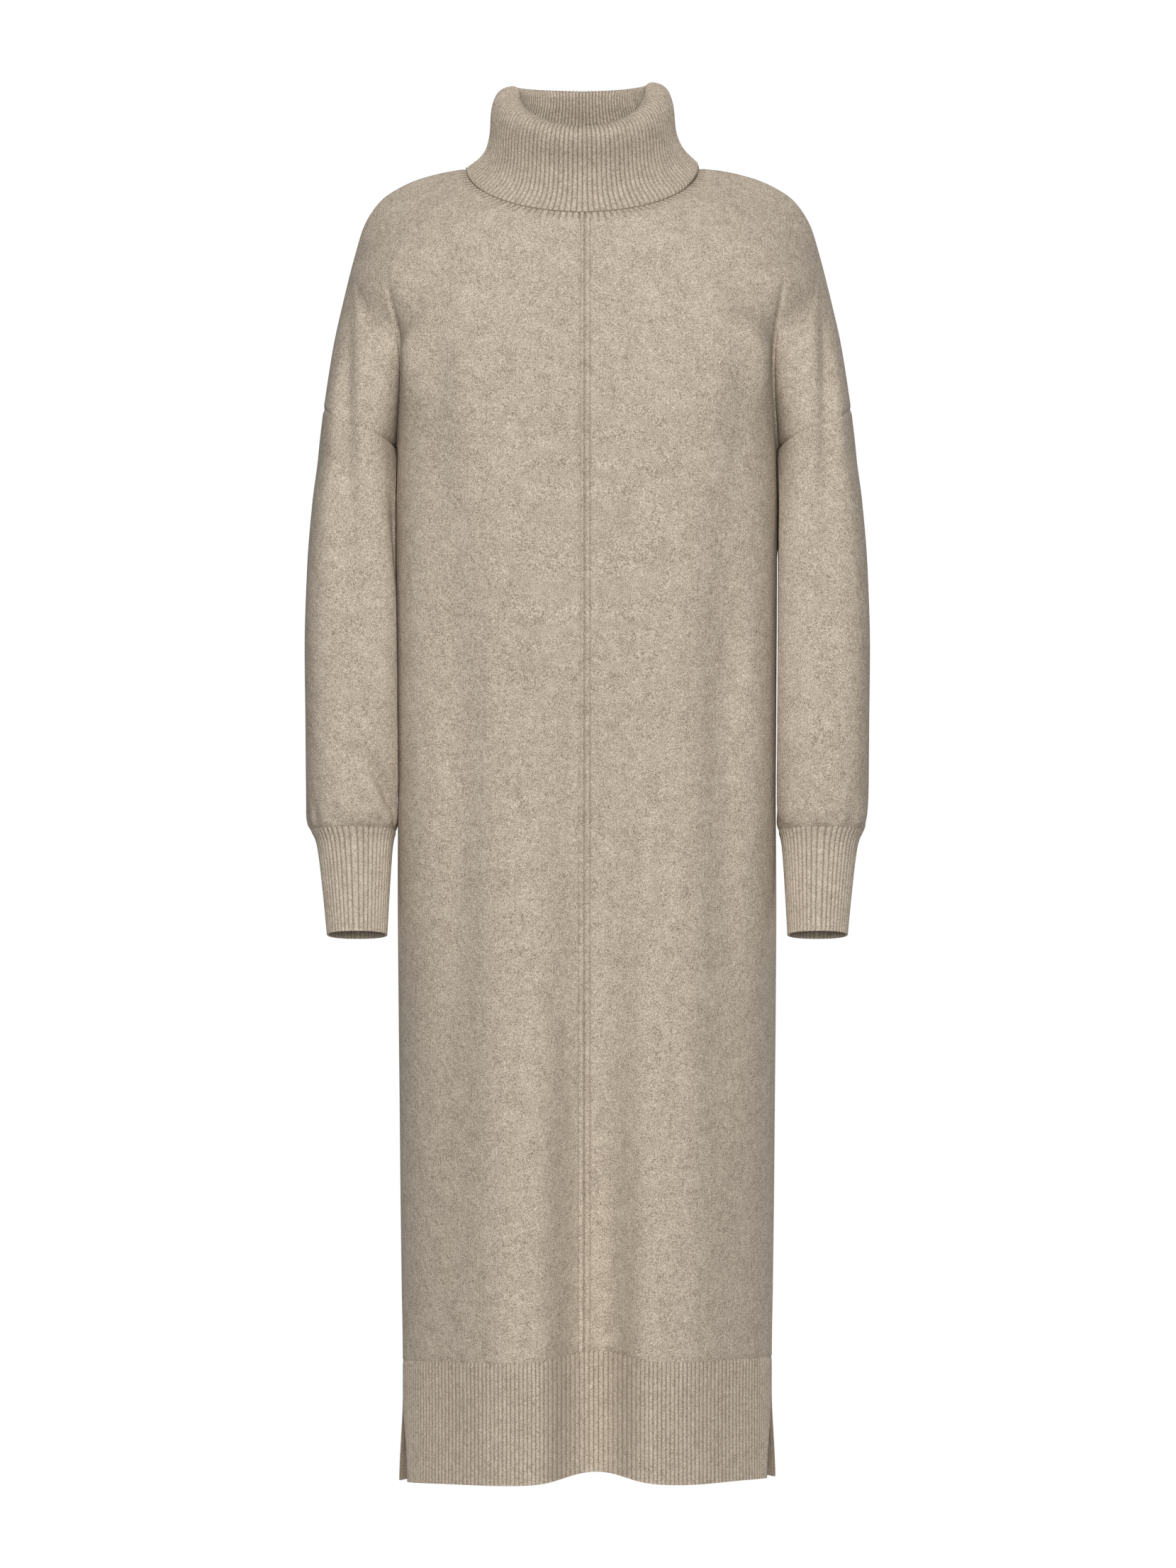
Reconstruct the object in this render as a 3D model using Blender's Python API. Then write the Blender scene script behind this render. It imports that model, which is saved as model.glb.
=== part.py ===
"""Roll-neck sweater dress in its worn shape, with no wearer in it.

Every knitted piece is a thin wall lofted through rings, and the walls meet at seams.
Metres, +Z up, the front faces -Y, and the wearer's left is +X. The origin lies between
the two high shoulder points, where the dress hangs on its wearer.
"""
import math
from collections import namedtuple
from functools import lru_cache

import bmesh
import bpy
from mathutils import Vector

# Walls and seams
KNIT = 0.0025           # plain knit
RIB_KNIT = 0.0024       # rib knit, at the bottom of its grooves
RIB_RAISE = 0.0010      # crest of a rib over its groove
SEAM_GAP = 0.0003       # between two pieces that a seam joins
SLEEVE_CLEARANCE = 0.0012   # between a sleeve and the side of the skirt

# Columns of points: from centre to underarm, and from underarm to shoulder
TORSO_CELLS = 12
ARM_CELLS = 8
HALF_CELLS = TORSO_CELLS + ARM_CELLS
TORSO_SHARE = TORSO_CELLS / HALF_CELLS
HEM_RIB_COLUMNS = 7     # fine columns in a cell, two to a rib
CUFF_RIB_COLUMNS = 6
COLLAR_RIB_COLUMNS = 3

# Neck seam
CENTRE_X = -0.0044      # neck and centre front line sit this far towards the wearer's right
NECK_HALF_WIDTH = 0.1045
NECK_HALF_DEPTH = 0.080
NECK_Y = -0.008
FRONT_NECK_DROP = 0.0445
BACK_NECK_DROP = 0.006

# Crest of the collar's fold
CREST_FRONT = 0.033
CREST_BACK = 0.0725
CREST_RIGHT = 0.0725
CREST_LEFT = 0.0760
NECK_LEAN = 0.006       # the collar leans forward by this much
LEFT_FLARE = 0.006      # its foot spreads further on the wearer's left
FLARE_RISE = 0.10       # share of its height where that is widest

# Armhole seam and the crease that runs up from the underarm
UNDERARM = -0.250
UNDERARM_X = 0.1712
OUTER_ARMHOLE = -0.217
CREASE_TOP = -0.085
CREASE_SWAY = 0.21      # share of a half ring by which the columns sway out at its top
CREASE_SPREAD = 0.07    # share of a half ring over which the underarm is rounded
CREASE_POWER, UNDERARM_POWER = 1.3, 0.7     # how fast the crease deepens, beside and in it
SWAY_POWER = math.log(0.5) / math.log(TORSO_SHARE)  # most sway at the crease
MERGED_SQUARENESS = 2.6
ARM_SQUARENESS = 2.3

# Hem and side slits
SLIT_TOP = -1.098
HEM = -1.177
HEM_ARCH = 0.0045       # the front hem and its seam rise towards the middle
HEM_LIFT = 0.0085       # and more over the middle fold
HEM_LIFT_X = 0.008
HEM_LIFT_WIDTH = 0.036
LIFT_STARTS = -0.62
SIDE_LIFT = 0.0035      # the hem is this much higher at the wearer's left side
SIDE_LIFT_X = 0.080     # from here outwards
SLIT_SPREAD = 0.25      # share of a band, from its side edge, that the slit moves
FRONT_EDGE_IN, FRONT_EDGE_FORWARD = 0.0060, 0.0110
BACK_EDGE_OUT, BACK_EDGE_BEHIND = 0.0025, 0.0050

# Raised line down the centre front
LINE_HALF_WIDTH = 0.0030
LINE_RAISE = 0.0012

CUFF_TILT = math.tan(math.radians(8))   # the forearm comes forward
TILT_STARTS, TILT_ENDS = -0.50, -0.66

FRONT, BACK = -1, 1
RIGHT, LEFT = -1, 1     # the wearer's own sides

# Rings of the body, rounder at the hem than at the hips: squareness 2 would be an ellipse
Ring = namedtuple("Ring", "height half_width front back squareness")
TORSO = (
    Ring(UNDERARM, 0.1690, 0.1175, 0.1110, 4.20),
    Ring(-0.263, 0.1692, 0.1180, 0.1109, 4.30),
    Ring(-0.310, 0.1702, 0.1195, 0.1090, 4.60),
    Ring(-0.390, 0.1700, 0.1185, 0.1045, 4.90),
    Ring(-0.480, 0.1695, 0.1145, 0.1010, 4.80),
    Ring(-0.570, 0.1690, 0.1120, 0.1040, 4.20),
    Ring(-0.660, 0.1695, 0.1110, 0.1105, 3.20),
    Ring(-0.750, 0.1690, 0.1105, 0.1130, 2.60),
    Ring(-0.840, 0.1682, 0.1095, 0.1115, 2.25),
    Ring(-0.920, 0.1675, 0.1085, 0.1095, 2.02),
    Ring(-1.000, 0.1665, 0.1075, 0.1075, 1.90),
    Ring(-1.068, 0.1655, 0.1065, 0.1060, 1.80),
)
HEM_BAND = (
    Ring(-1.068, 0.1655, 0.1065, 0.1060, 1.80),
    Ring(SLIT_TOP, 0.1655, 0.1065, 0.1060, 1.78),
    Ring(-1.140, 0.1660, 0.1067, 0.1062, 1.76),
    Ring(HEM, 0.1665, 0.1070, 0.1065, 1.75),
)

# x of the side next to the body and of the outer side, y of the middle, depths from it
Tube = namedtuple("Tube", "height inner outer middle front back")
SLEEVE = (
    Tube(OUTER_ARMHOLE, 0.1735, 0.2365, 0.007, 0.060, 0.060),
    Tube(UNDERARM, 0.1735, 0.2403, 0.007, 0.059, 0.060),
    Tube(-0.263, 0.1730, 0.2415, 0.004, 0.058, 0.060),
    Tube(-0.300, 0.1670, 0.2460, -0.009, 0.056, 0.059),
    Tube(-0.360, 0.1640, 0.2505, -0.020, 0.054, 0.058),
    Tube(-0.430, 0.1635, 0.2525, -0.025, 0.052, 0.057),
    Tube(-0.500, 0.1640, 0.2518, -0.027, 0.050, 0.055),
    Tube(-0.545, 0.1645, 0.2515, -0.028, 0.049, 0.053),
    Tube(-0.578, 0.1655, 0.2508, -0.029, 0.046, 0.049),
    Tube(-0.594, 0.1695, 0.2482, -0.030, 0.041, 0.042),
)
CUFF = (
    Tube(-0.594, 0.1695, 0.2482, -0.030, 0.041, 0.042),
    Tube(-0.608, 0.1735, 0.2415, -0.031, 0.035, 0.036),
    Tube(-0.687, 0.1785, 0.2325, -0.038, 0.029, 0.030),
)

# Yoke rings from the neck seam to the underarm ring: how far each has gone outwards and
# down at the centre, and where it crosses the shoulder
Yoke = namedtuple("Yoke", "out_centre down_centre shoulder_x shoulder_z")
YOKE = (
    Yoke(0.000, 0.000, NECK_HALF_WIDTH, 0.0000),
    Yoke(0.090, 0.050, 0.1332, -0.0053),
    Yoke(0.195, 0.110, 0.1535, -0.0110),
    Yoke(0.310, 0.180, 0.1708, -0.0190),
    Yoke(0.430, 0.260, 0.1828, -0.0270),
    Yoke(0.550, 0.350, 0.1928, -0.0385),
    Yoke(0.670, 0.450, 0.2008, -0.0530),
    Yoke(0.790, 0.570, 0.2085, -0.0780),
    Yoke(0.885, 0.700, 0.2180, -0.1150),
    Yoke(0.955, 0.830, 0.2275, -0.1580),
    Yoke(0.985, 0.920, 0.2325, -0.1895),
    Yoke(0.995, 0.965, 0.2347, -0.2050),
    Yoke(1.000, 1.000, 0.2365, OUTER_ARMHOLE),
)

# The collar's path, from the bottom of its inner layer over the fold to the neck seam:
# share of the height, and its ring's half width and half depth
CollarRing = namedtuple("CollarRing", "rise half_width half_depth")
COLLAR = (
    CollarRing(0.13, 0.0795, 0.0620),
    CollarRing(0.88, 0.0560, 0.0480),
    CollarRing(1.00, 0.0620, 0.0545),
    CollarRing(0.92, 0.0755, 0.0655),
    CollarRing(0.62, 0.0820, 0.0705),
    CollarRing(0.28, 0.0848, 0.0710),
    CollarRing(0.13, 0.0930, 0.0740),
    CollarRing(0.00, NECK_HALF_WIDTH, NECK_HALF_DEPTH),
)

# Soft folds of body and skirt: place across at the top and bottom of the fold, where it
# starts, where it is deepest, where it ends, half width, height over the cloth, and power,
# which is 2 for a round fold and 3 for one with a flatter top and steeper walls
Fold = namedtuple("Fold", "face x_top x_low top deepest low half_width raise_by power")
BODY_FOLDS = (
    Fold(FRONT, 0.000, 0.006, -0.44, -0.64, -9.0, 0.034, -0.0110, 3),
    Fold(FRONT, 0.006, 0.004, -0.62, -1.17, -9.0, 0.036, -0.0260, 3),
    Fold(FRONT, -0.065, -0.063, -0.38, -0.90, -9.0, 0.050, 0.0190, 3),
    Fold(FRONT, 0.076, 0.075, -0.46, -1.00, -9.0, 0.044, 0.0130, 3),
    Fold(FRONT, -0.150, -0.150, -0.16, -0.38, -0.95, 0.050, -0.0160, 3),
    Fold(FRONT, 0.150, 0.150, -0.16, -0.38, -0.95, 0.048, -0.0160, 3),
    Fold(FRONT, -0.110, -0.108, -0.30, -0.55, -1.10, 0.021, -0.0070, 2),
    Fold(FRONT, 0.123, 0.121, -0.26, -0.50, -0.98, 0.021, -0.0060, 2),
    Fold(FRONT, -0.128, -0.118, -0.10, -0.20, -0.34, 0.022, -0.0060, 2),
    Fold(FRONT, 0.134, 0.128, -0.11, -0.20, -0.34, 0.022, -0.0050, 2),
    Fold(BACK, 0.000, 0.004, -0.30, -0.50, -0.75, 0.050, -0.0070, 2),
    Fold(BACK, -0.070, -0.062, -0.62, -1.08, -9.0, 0.034, -0.0120, 2),
    Fold(BACK, 0.052, 0.060, -0.66, -1.08, -9.0, 0.036, -0.0130, 2),
    Fold(BACK, -0.004, -0.002, -0.60, -1.05, -9.0, 0.036, 0.0080, 2),
    Fold(BACK, -0.118, -0.112, -0.13, -0.24, -0.45, 0.026, -0.0050, 2),
    Fold(BACK, 0.122, 0.116, -0.12, -0.23, -0.42, 0.026, -0.0050, 2),
)

# Folds of the arms: side, face, share of the way from the body round to the outer side,
# heights, half width as a share, and height over the cloth
ArmFold = namedtuple("ArmFold", "side face share top deepest low half_width raise_by")
ARM_FOLDS = (
    ArmFold(RIGHT, FRONT, 0.55, -0.07, -0.18, -0.33, 0.08, -0.0070),
    ArmFold(LEFT, FRONT, 0.54, -0.07, -0.17, -0.28, 0.08, -0.0055),
    ArmFold(RIGHT, BACK, 0.55, -0.10, -0.20, -0.36, 0.11, -0.0045),
    ArmFold(LEFT, BACK, 0.50, -0.10, -0.21, -0.34, 0.11, -0.0045),
    ArmFold(RIGHT, FRONT, 0.18, -0.48, -0.54, -0.59, 0.15, -0.0060),
    ArmFold(RIGHT, BACK, 0.45, -0.48, -0.55, -0.59, 0.20, -0.0050),
    ArmFold(LEFT, BACK, 0.60, -0.47, -0.54, -0.59, 0.20, -0.0050),
)


def smooth(share):
    """0 to 1 with level ends, for a share from 0 to 1."""
    share = min(1.0, max(0.0, share))
    return share * share * (3 - 2 * share)


def ramp(height, top, deepest, low):
    """How strong a fold is at a height: 0 at its top and low ends, 1 where it is deepest."""
    if height >= deepest:
        return smooth((top - height) / (top - deepest))
    return smooth((height - low) / (deepest - low))


def reading(table, height):
    """A row of a table for any height, between its rows."""
    for above, below in zip(table, table[1:]):
        if height >= below.height:
            break
    share = (height - above.height) / (below.height - above.height)
    share = min(1.0, max(0.0, share))
    return type(above)(*(a + (b - a) * share for a, b in zip(above, below)))


@lru_cache(maxsize=None)
def quarter_samples(width, depth, squareness):
    """Points of a quarter superellipse from its depth to its width, with their lengths."""
    steps = 90
    points, lengths = [], [0.0]
    for step in range(steps + 1):
        angle = math.pi / 2 * step / steps
        x = width * math.sin(angle) ** (2 / squareness)
        y = depth * max(0.0, math.cos(angle)) ** (2 / squareness)
        if points:
            lengths.append(lengths[-1] + math.dist(points[-1], (x, y)))
        points.append((x, y))
    return points, lengths


def quarter(width, depth, squareness, share):
    """The point at a share of the way round a quarter superellipse, by length."""
    points, lengths = quarter_samples(width, depth, squareness)
    wanted = share * lengths[-1]
    step = next(i for i in range(1, len(points)) if lengths[i] >= wanted - 1e-12)
    part = (wanted - lengths[step - 1]) / (lengths[step] - lengths[step - 1])
    (ax, ay), (bx, by) = points[step - 1], points[step]
    return ax + (bx - ax) * part, ay + (by - ay) * part


def body_fold(face, x, height):
    """How far the folds raise the cloth there."""
    raised = 0.0
    for fold in BODY_FOLDS:
        if fold.face != face:
            continue
        low = max(fold.low, HEM)
        share = (fold.top - height) / (fold.top - low)
        middle = fold.x_top + (fold.x_low - fold.x_top) * min(1.0, max(0.0, share))
        across = abs(x - middle) / fold.half_width
        raised += fold.raise_by * math.exp(-across ** fold.power) * ramp(
            height, fold.top, fold.deepest, fold.low)
    return raised


def hem_rise(face, x, height, half_width):
    """How far the cloth near the hem lies above its height at the side seam."""
    strength = smooth((LIFT_STARTS - height) / (LIFT_STARTS - HEM))
    arch = HEM_ARCH * (1 - (x / half_width) ** 2)
    arch += SIDE_LIFT * smooth((x - SIDE_LIFT_X) / (half_width - SIDE_LIFT_X))
    if face == BACK:
        return arch * strength
    across = (x - HEM_LIFT_X) / HEM_LIFT_WIDTH
    return (arch + HEM_LIFT * math.exp(-across * across)) * strength


def side_fade(share):
    """Folds of the body die out before the side seam, where the share is 1."""
    return 1 - smooth((share - 0.7) / 0.3)


def torso_point(table, side, face, share, height, folded=True):
    """Body and skirt: share 0 is the centre line and share 1 the side seam."""
    ring = reading(table, height)
    depth = ring.front if face == FRONT else ring.back
    x, y = quarter(ring.half_width, depth, ring.squareness, share)
    x = side * x + CENTRE_X * (1 - share)
    if folded:
        y += body_fold(face, x, height) * side_fade(share)
    return Vector((x, face * y, height + hem_rise(face, x, height, ring.half_width)))


def torso_reach(y, height):
    """How far the side of the body reaches from the middle at a depth."""
    ring = reading(TORSO, height)
    depth = ring.front if y < 0 else ring.back
    share = min(1.0, abs(y) / depth)
    return ring.half_width * (1 - share ** ring.squareness) ** (1 / ring.squareness)


def arm_fold(side, face, share, height):
    raised = 0.0
    for fold in ARM_FOLDS:
        if (fold.side, fold.face) == (side, face):
            across = (share - fold.share) / fold.half_width
            raised += fold.raise_by * math.exp(-across * across) * ramp(
                height, fold.top, fold.deepest, fold.low)
    return raised


def arm_point(table, side, face, share, height):
    """Sleeve or cuff: share 0 is next to the body and share 1 the outer side."""
    tube = reading(table, height)
    turn = math.pi * share
    power = 2 / ARM_SQUARENESS
    across = math.copysign(abs(math.cos(turn)) ** power, math.cos(turn))
    along = max(0.0, math.sin(turn)) ** power
    raised = arm_fold(side, face, share, height)
    half_width = (tube.outer - tube.inner) / 2 + raised * abs(across)
    depth = (tube.front if face == FRONT else tube.back) + raised
    x = (tube.outer + tube.inner) / 2 - half_width * across
    y = tube.middle + face * depth * along
    x = max(x, torso_reach(y, height) + SLEEVE_CLEARANCE)
    tilt = CUFF_TILT * smooth((TILT_STARTS - height) / (TILT_STARTS - TILT_ENDS))
    return Vector((side * x, y, height - tilt * (y - tube.middle)))


def armhole_height(share):
    """Height of the armhole seam, from the underarm to the outer side of the arm."""
    outwards = (1 - math.cos(math.pi * share)) / 2
    return UNDERARM + (OUTER_ARMHOLE - UNDERARM) * outwards


def neck_point(side, face, share):
    angle = math.pi / 2 * share
    drop = FRONT_NECK_DROP if face == FRONT else BACK_NECK_DROP
    return Vector((
        CENTRE_X + side * NECK_HALF_WIDTH * math.sin(angle),
        NECK_Y + face * NECK_HALF_DEPTH * math.cos(angle),
        -drop * math.cos(angle),
    ))


def underarm_point(side, face, share):
    """The ring where the yoke ends: body and arms, parted by the crease."""
    if abs(share - TORSO_SHARE) < 1e-6:
        return Vector((side * UNDERARM_X, 0, UNDERARM))
    if share < TORSO_SHARE:
        return torso_point(TORSO, side, face, share / TORSO_SHARE, UNDERARM, folded=False)
    arm_share = (share - TORSO_SHARE) / (1 - TORSO_SHARE)
    return arm_point(SLEEVE, side, face, arm_share, armhole_height(arm_share))


def crease_left(height, low):
    """1 at the top of the crease and above it, 0 at the underarm ring."""
    return min(1.0, max(0.0, (height - low) / (CREASE_TOP - low)))


def merged_point(side, face, share, left):
    """The underarm ring with no crease between body and arm, its columns swayed outwards."""
    ring, tube = TORSO[0], SLEEVE[0]
    depth = ring.front if face == FRONT else ring.back
    swayed = share + CREASE_SWAY * left ** 3 * math.sin(math.pi * share ** SWAY_POWER)
    x, y = quarter(tube.outer, depth, MERGED_SQUARENESS, swayed)
    middle = tube.middle * (x / tube.outer) ** 2
    return side * x + CENTRE_X * (1 - share), middle + face * y


def crease_depth(share, left):
    """0 where chest and arm are one round form, 1 where the crease has parted them."""
    near = math.exp(-((share - TORSO_SHARE) / CREASE_SPREAD) ** 2)
    power = CREASE_POWER + (UNDERARM_POWER - CREASE_POWER) * near
    return (1 - left ** power) * smooth((1 - left) / 0.5)


def yoke_point(side, face, share, row):
    """Chest, back and shoulders: share 0 is the centre and share 1 the shoulder seam."""
    start, end = neck_point(side, face, share), underarm_point(side, face, share)
    step, last = YOKE[row], YOKE[-1]
    neck_x = NECK_HALF_WIDTH + side * CENTRE_X
    out_side = max(0.0, step.shoulder_x - neck_x) / (last.shoulder_x - neck_x)
    if row == 0:
        out_side = 0.0
    down_side = step.shoulder_z / last.shoulder_z
    sideways = smooth(share)
    out = step.out_centre + (out_side - step.out_centre) * sideways
    down = step.down_centre + (down_side - step.down_centre) * sideways
    z = start.z + (end.z - start.z) * down
    left = crease_left(z, end.z)
    low_x, low_y = merged_point(side, face, share, 0)
    end_x, end_y = merged_point(side, face, share, left)
    crease = crease_depth(share, left)
    x = start.x + (end_x - start.x) * out + (end.x - low_x) * crease
    y = start.y + (end_y - start.y) * out + (end.y - low_y) * crease
    if share < TORSO_SHARE:
        y += face * body_fold(face, x, z) * side_fade(share / TORSO_SHARE)
    else:
        arm_share = (share - TORSO_SHARE) / (1 - TORSO_SHARE)
        y += face * arm_fold(side, face, arm_share, z) * (1 - crease)
    return Vector((x, y, z))


def hem_point(side, face, share, height):
    """Rib band of the hem: its side edges part below the top of the slit."""
    point = torso_point(HEM_BAND, side, face, share, height)
    opened = smooth((SLIT_TOP - height) / (SLIT_TOP - HEM))
    near_edge = max(0.0, (share - 1 + SLIT_SPREAD) / SLIT_SPREAD) ** 2
    if face == FRONT:
        inwards, along = -FRONT_EDGE_IN, FRONT_EDGE_FORWARD
    else:
        inwards, along = BACK_EDGE_OUT, BACK_EDGE_BEHIND
    point.x += side * inwards * opened * near_edge
    point.y += face * along * opened * near_edge
    return point


def collar_point(side, face, share, ring):
    angle = math.pi / 2 * share
    base = neck_point(side, face, share)
    crest_side = CREST_LEFT if side == LEFT else CREST_RIGHT
    crest_middle = CREST_FRONT if face == FRONT else CREST_BACK
    crest = crest_side + (crest_middle - crest_side) * math.cos(angle)
    flare = ring.rise / FLARE_RISE * math.exp(1 - ring.rise / FLARE_RISE)
    half_width = ring.half_width + (LEFT_FLARE * flare if side == LEFT else 0)
    return Vector((
        CENTRE_X + side * half_width * math.sin(angle),
        NECK_Y - NECK_LEAN * ring.rise + face * ring.half_depth * math.cos(angle),
        base.z + (crest - base.z) * ring.rise,
    ))


def around(point_at, cells):
    """A closed row, counter-clockwise from above, starting at the wearer's right."""
    row = []
    for side, face, shares in (
        (RIGHT, FRONT, range(cells, 0, -1)), (LEFT, FRONT, range(0, cells)),
        (LEFT, BACK, range(cells, 0, -1)), (RIGHT, BACK, range(0, cells)),
    ):
        row += [point_at(side, face, share / cells) for share in shares]
    return row


def across(point_at, face, cells):
    """An open row over the front or the back, counter-clockwise from above."""
    row = [point_at(RIGHT, face, share / cells) for share in range(cells, 0, -1)]
    row += [point_at(LEFT, face, share / cells) for share in range(cells + 1)]
    return row if face == FRONT else row[::-1]


def body_grid(face):
    """Rows of one body panel: the whole yoke, and below it the skirt without the arms."""
    rows = []
    for row in range(len(YOKE)):
        rows.append(across(
            lambda side, _, share: yoke_point(side, face, share, row), face, HALF_CELLS))
    for ring in TORSO[1:]:
        skirt = across(lambda side, _, share: torso_point(
            TORSO, side, face, share, ring.height), face, TORSO_CELLS)
        rows.append([None] * ARM_CELLS + skirt + [None] * ARM_CELLS)
    return rows


def tube_grid(table, side, first_row=None):
    """Closed rows of a sleeve or cuff, counter-clockwise from above."""
    rows = [] if first_row is None else [first_row]
    for tube in table[len(rows):]:
        def at(face, share, height=tube.height):
            return arm_point(table, side, face, share / ARM_CELLS, height)
        front = [at(FRONT, share) for share in range(ARM_CELLS)]
        back = [at(BACK, share) for share in range(ARM_CELLS, 0, -1)]
        row = front + back
        rows.append(row if side == LEFT else [row[0]] + row[:0:-1])
    return rows


def sleeve_grid(side):
    """A sleeve starts at the armhole seam, which slopes, and ends at the cuff."""
    def seam(face, share):
        return yoke_point(side, face, TORSO_SHARE + (1 - TORSO_SHARE) * share / ARM_CELLS,
                          len(YOKE) - 1)
    row = [seam(FRONT, share) for share in range(ARM_CELLS)]
    row += [seam(BACK, share) for share in range(ARM_CELLS, 0, -1)]
    return tube_grid(SLEEVE[1:], side, row if side == LEFT else [row[0]] + row[:0:-1])


def hem_grid(face):
    return [across(lambda side, _, share: hem_point(side, face, share, ring.height),
                   face, TORSO_CELLS) for ring in HEM_BAND]


def collar_grid():
    return [around(lambda side, face, share: collar_point(side, face, share, ring),
                   HALF_CELLS) for ring in COLLAR]


def cells_of(rows, closed):
    """(row, column, next column) of every cell whose four corners exist."""
    width = len(rows[0])
    for r in range(len(rows) - 1):
        for c in range(width if closed else width - 1):
            d = (c + 1) % width
            if None not in (rows[r][c], rows[r][d], rows[r + 1][c], rows[r + 1][d]):
                yield r, c, d


def key_of(point):
    return tuple(round(value, 5) for value in point)


def shared_normals(grids):
    """Outward direction at every point, averaged over all pieces that meet there."""
    total = {}
    for rows, closed in grids:
        for r, c, d in cells_of(rows, closed):
            corners = rows[r][c], rows[r][d], rows[r + 1][d], rows[r + 1][c]
            facing = (corners[2] - corners[0]).cross(corners[1] - corners[3]).normalized()
            for corner in corners:
                total[key_of(corner)] = total.get(key_of(corner), Vector()) + facing
    return {key: facing.normalized() for key, facing in total.items()}


def seam_moves(rows, closed, normals):
    """How far each edge point draws back from its seam, half the gap from every edge."""
    edges = {}
    for r, c, d in cells_of(rows, closed):
        for a, b in (((r, c), (r, d)), ((r, d), (r + 1, d)),
                     ((r + 1, d), (r + 1, c)), ((r + 1, c), (r, c))):
            middle = (rows[r][c] + rows[r][d] + rows[r + 1][c] + rows[r + 1][d]) / 4
            edges.setdefault(frozenset((a, b)), []).append((a, b, middle))
    directions = {}
    for found in edges.values():
        if len(found) > 1:
            continue
        a, b, middle = found[0]
        start, end = rows[a[0]][a[1]], rows[b[0]][b[1]]
        for corner, point in ((a, start), (b, end)):
            inwards = normals[key_of(point)].cross(end - start).normalized()
            inwards *= math.copysign(1, inwards.dot(middle - start))
            directions.setdefault(corner, []).append(inwards)
    moves = {}
    for corner, found in directions.items():
        total = sum(found, Vector())
        moves[corner] = total * (SEAM_GAP / 2 * len(found) / max(total.length_squared, 0.1))
    return moves


def wall_points(rows, closed, normals, thickness):
    """Outer and inner rows of a wall, drawn back from its seams."""
    moves = seam_moves(rows, closed, normals)
    outer, inner = [], []
    for r, row in enumerate(rows):
        outer.append([])
        inner.append([])
        for c, point in enumerate(row):
            if point is None:
                outer[-1].append(None)
                inner[-1].append(None)
                continue
            normal = normals[key_of(point)]
            moved = point + moves.get((r, c), Vector())
            outer[-1].append(moved)
            inner[-1].append(moved - normal * thickness)
    return outer, inner


def ribbed(rows, inner_rows, closed, per_cell):
    """The outer rows with per_cell columns to a cell, every second one raised as a rib."""
    fine = []
    for row, inside in zip(rows, inner_rows):
        width = len(row)
        points = []
        for c in range(width if closed else width - 1):
            d = (c + 1) % width
            for step in range(per_cell):
                share = step / per_cell
                out = row[c].lerp(row[d], share)
                outwards = (out - inside[c].lerp(inside[d], share)).normalized()
                crest = (c * per_cell + step) % 2
                points.append(out + outwards * RIB_RAISE * crest)
        if not closed:
            points.append(row[-1])
        fine.append(points)
    return fine


def add_cell(shape, a, b, c, d):
    """One cell of a wall, split along its shorter diagonal."""
    if (a.co - c.co).length < (b.co - d.co).length:
        shape.faces.new((a, b, c))
        shape.faces.new((a, c, d))
    else:
        shape.faces.new((a, b, d))
        shape.faces.new((b, c, d))


def close_rim(shape, out, inn, groove):
    """Triangles between the fine outer edge and the plain inner edge of one cell."""
    for a, b in zip(out[:groove], out[1:groove + 1]):
        shape.faces.new((a, b, inn[0]))
    shape.faces.new((out[groove], inn[1], inn[0]))
    for a, b in zip(out[groove:], out[groove + 1:]):
        shape.faces.new((a, b, inn[1]))


def add_wall(name, outer, inner, closed, material, per_cell=1):
    """A closed solid between outer and inner rows, which has per_cell times fewer columns."""
    shape = bmesh.new()
    out = [[point and shape.verts.new(point) for point in row] for row in outer]
    inn = [[point and shape.verts.new(point) for point in row] for row in inner]
    cells = list(cells_of(inner, closed))
    present = {(r, c) for r, c, _ in cells}
    width = len(inner[0])
    for r, c, d in cells:
        steps = [(c * per_cell + step) % len(outer[0]) for step in range(per_cell + 1)]
        groove = per_cell // 2
        groove += (c * per_cell + groove) % 2 if per_cell > 1 else 0
        for a, b in zip(steps, steps[1:]):
            add_cell(shape, out[r][a], out[r + 1][a], out[r + 1][b], out[r][b])
        add_cell(shape, inn[r][c], inn[r][d], inn[r + 1][d], inn[r + 1][c])
        for edge, beyond in ((r, r - 1), (r + 1, r + 1)):
            if (beyond, c) not in present:
                fine_edge = [out[edge][a] for a in steps]
                close_rim(shape, fine_edge, (inn[edge][c], inn[edge][d]), groove)
        before = (c - 1) % width if closed else c - 1
        if (r, before) not in present:
            a = steps[0]
            add_cell(shape, out[r][a], inn[r][c], inn[r + 1][c], out[r + 1][a])
        if (r, d) not in present and not (closed and d == 0):
            b = steps[-1]
            add_cell(shape, out[r][b], out[r + 1][b], inn[r + 1][d], inn[r][d])
    bmesh.ops.recalc_face_normals(shape, faces=shape.faces)
    mesh = bpy.data.meshes.new(name)
    shape.to_mesh(mesh)
    shape.free()
    mesh.shade_smooth()
    mesh.set_sharp_from_angle(angle=math.radians(50))
    mesh.materials.append(material)
    piece = bpy.data.objects.new(name, mesh)
    bpy.data.collections["sweater_dress"].objects.link(piece)


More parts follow.
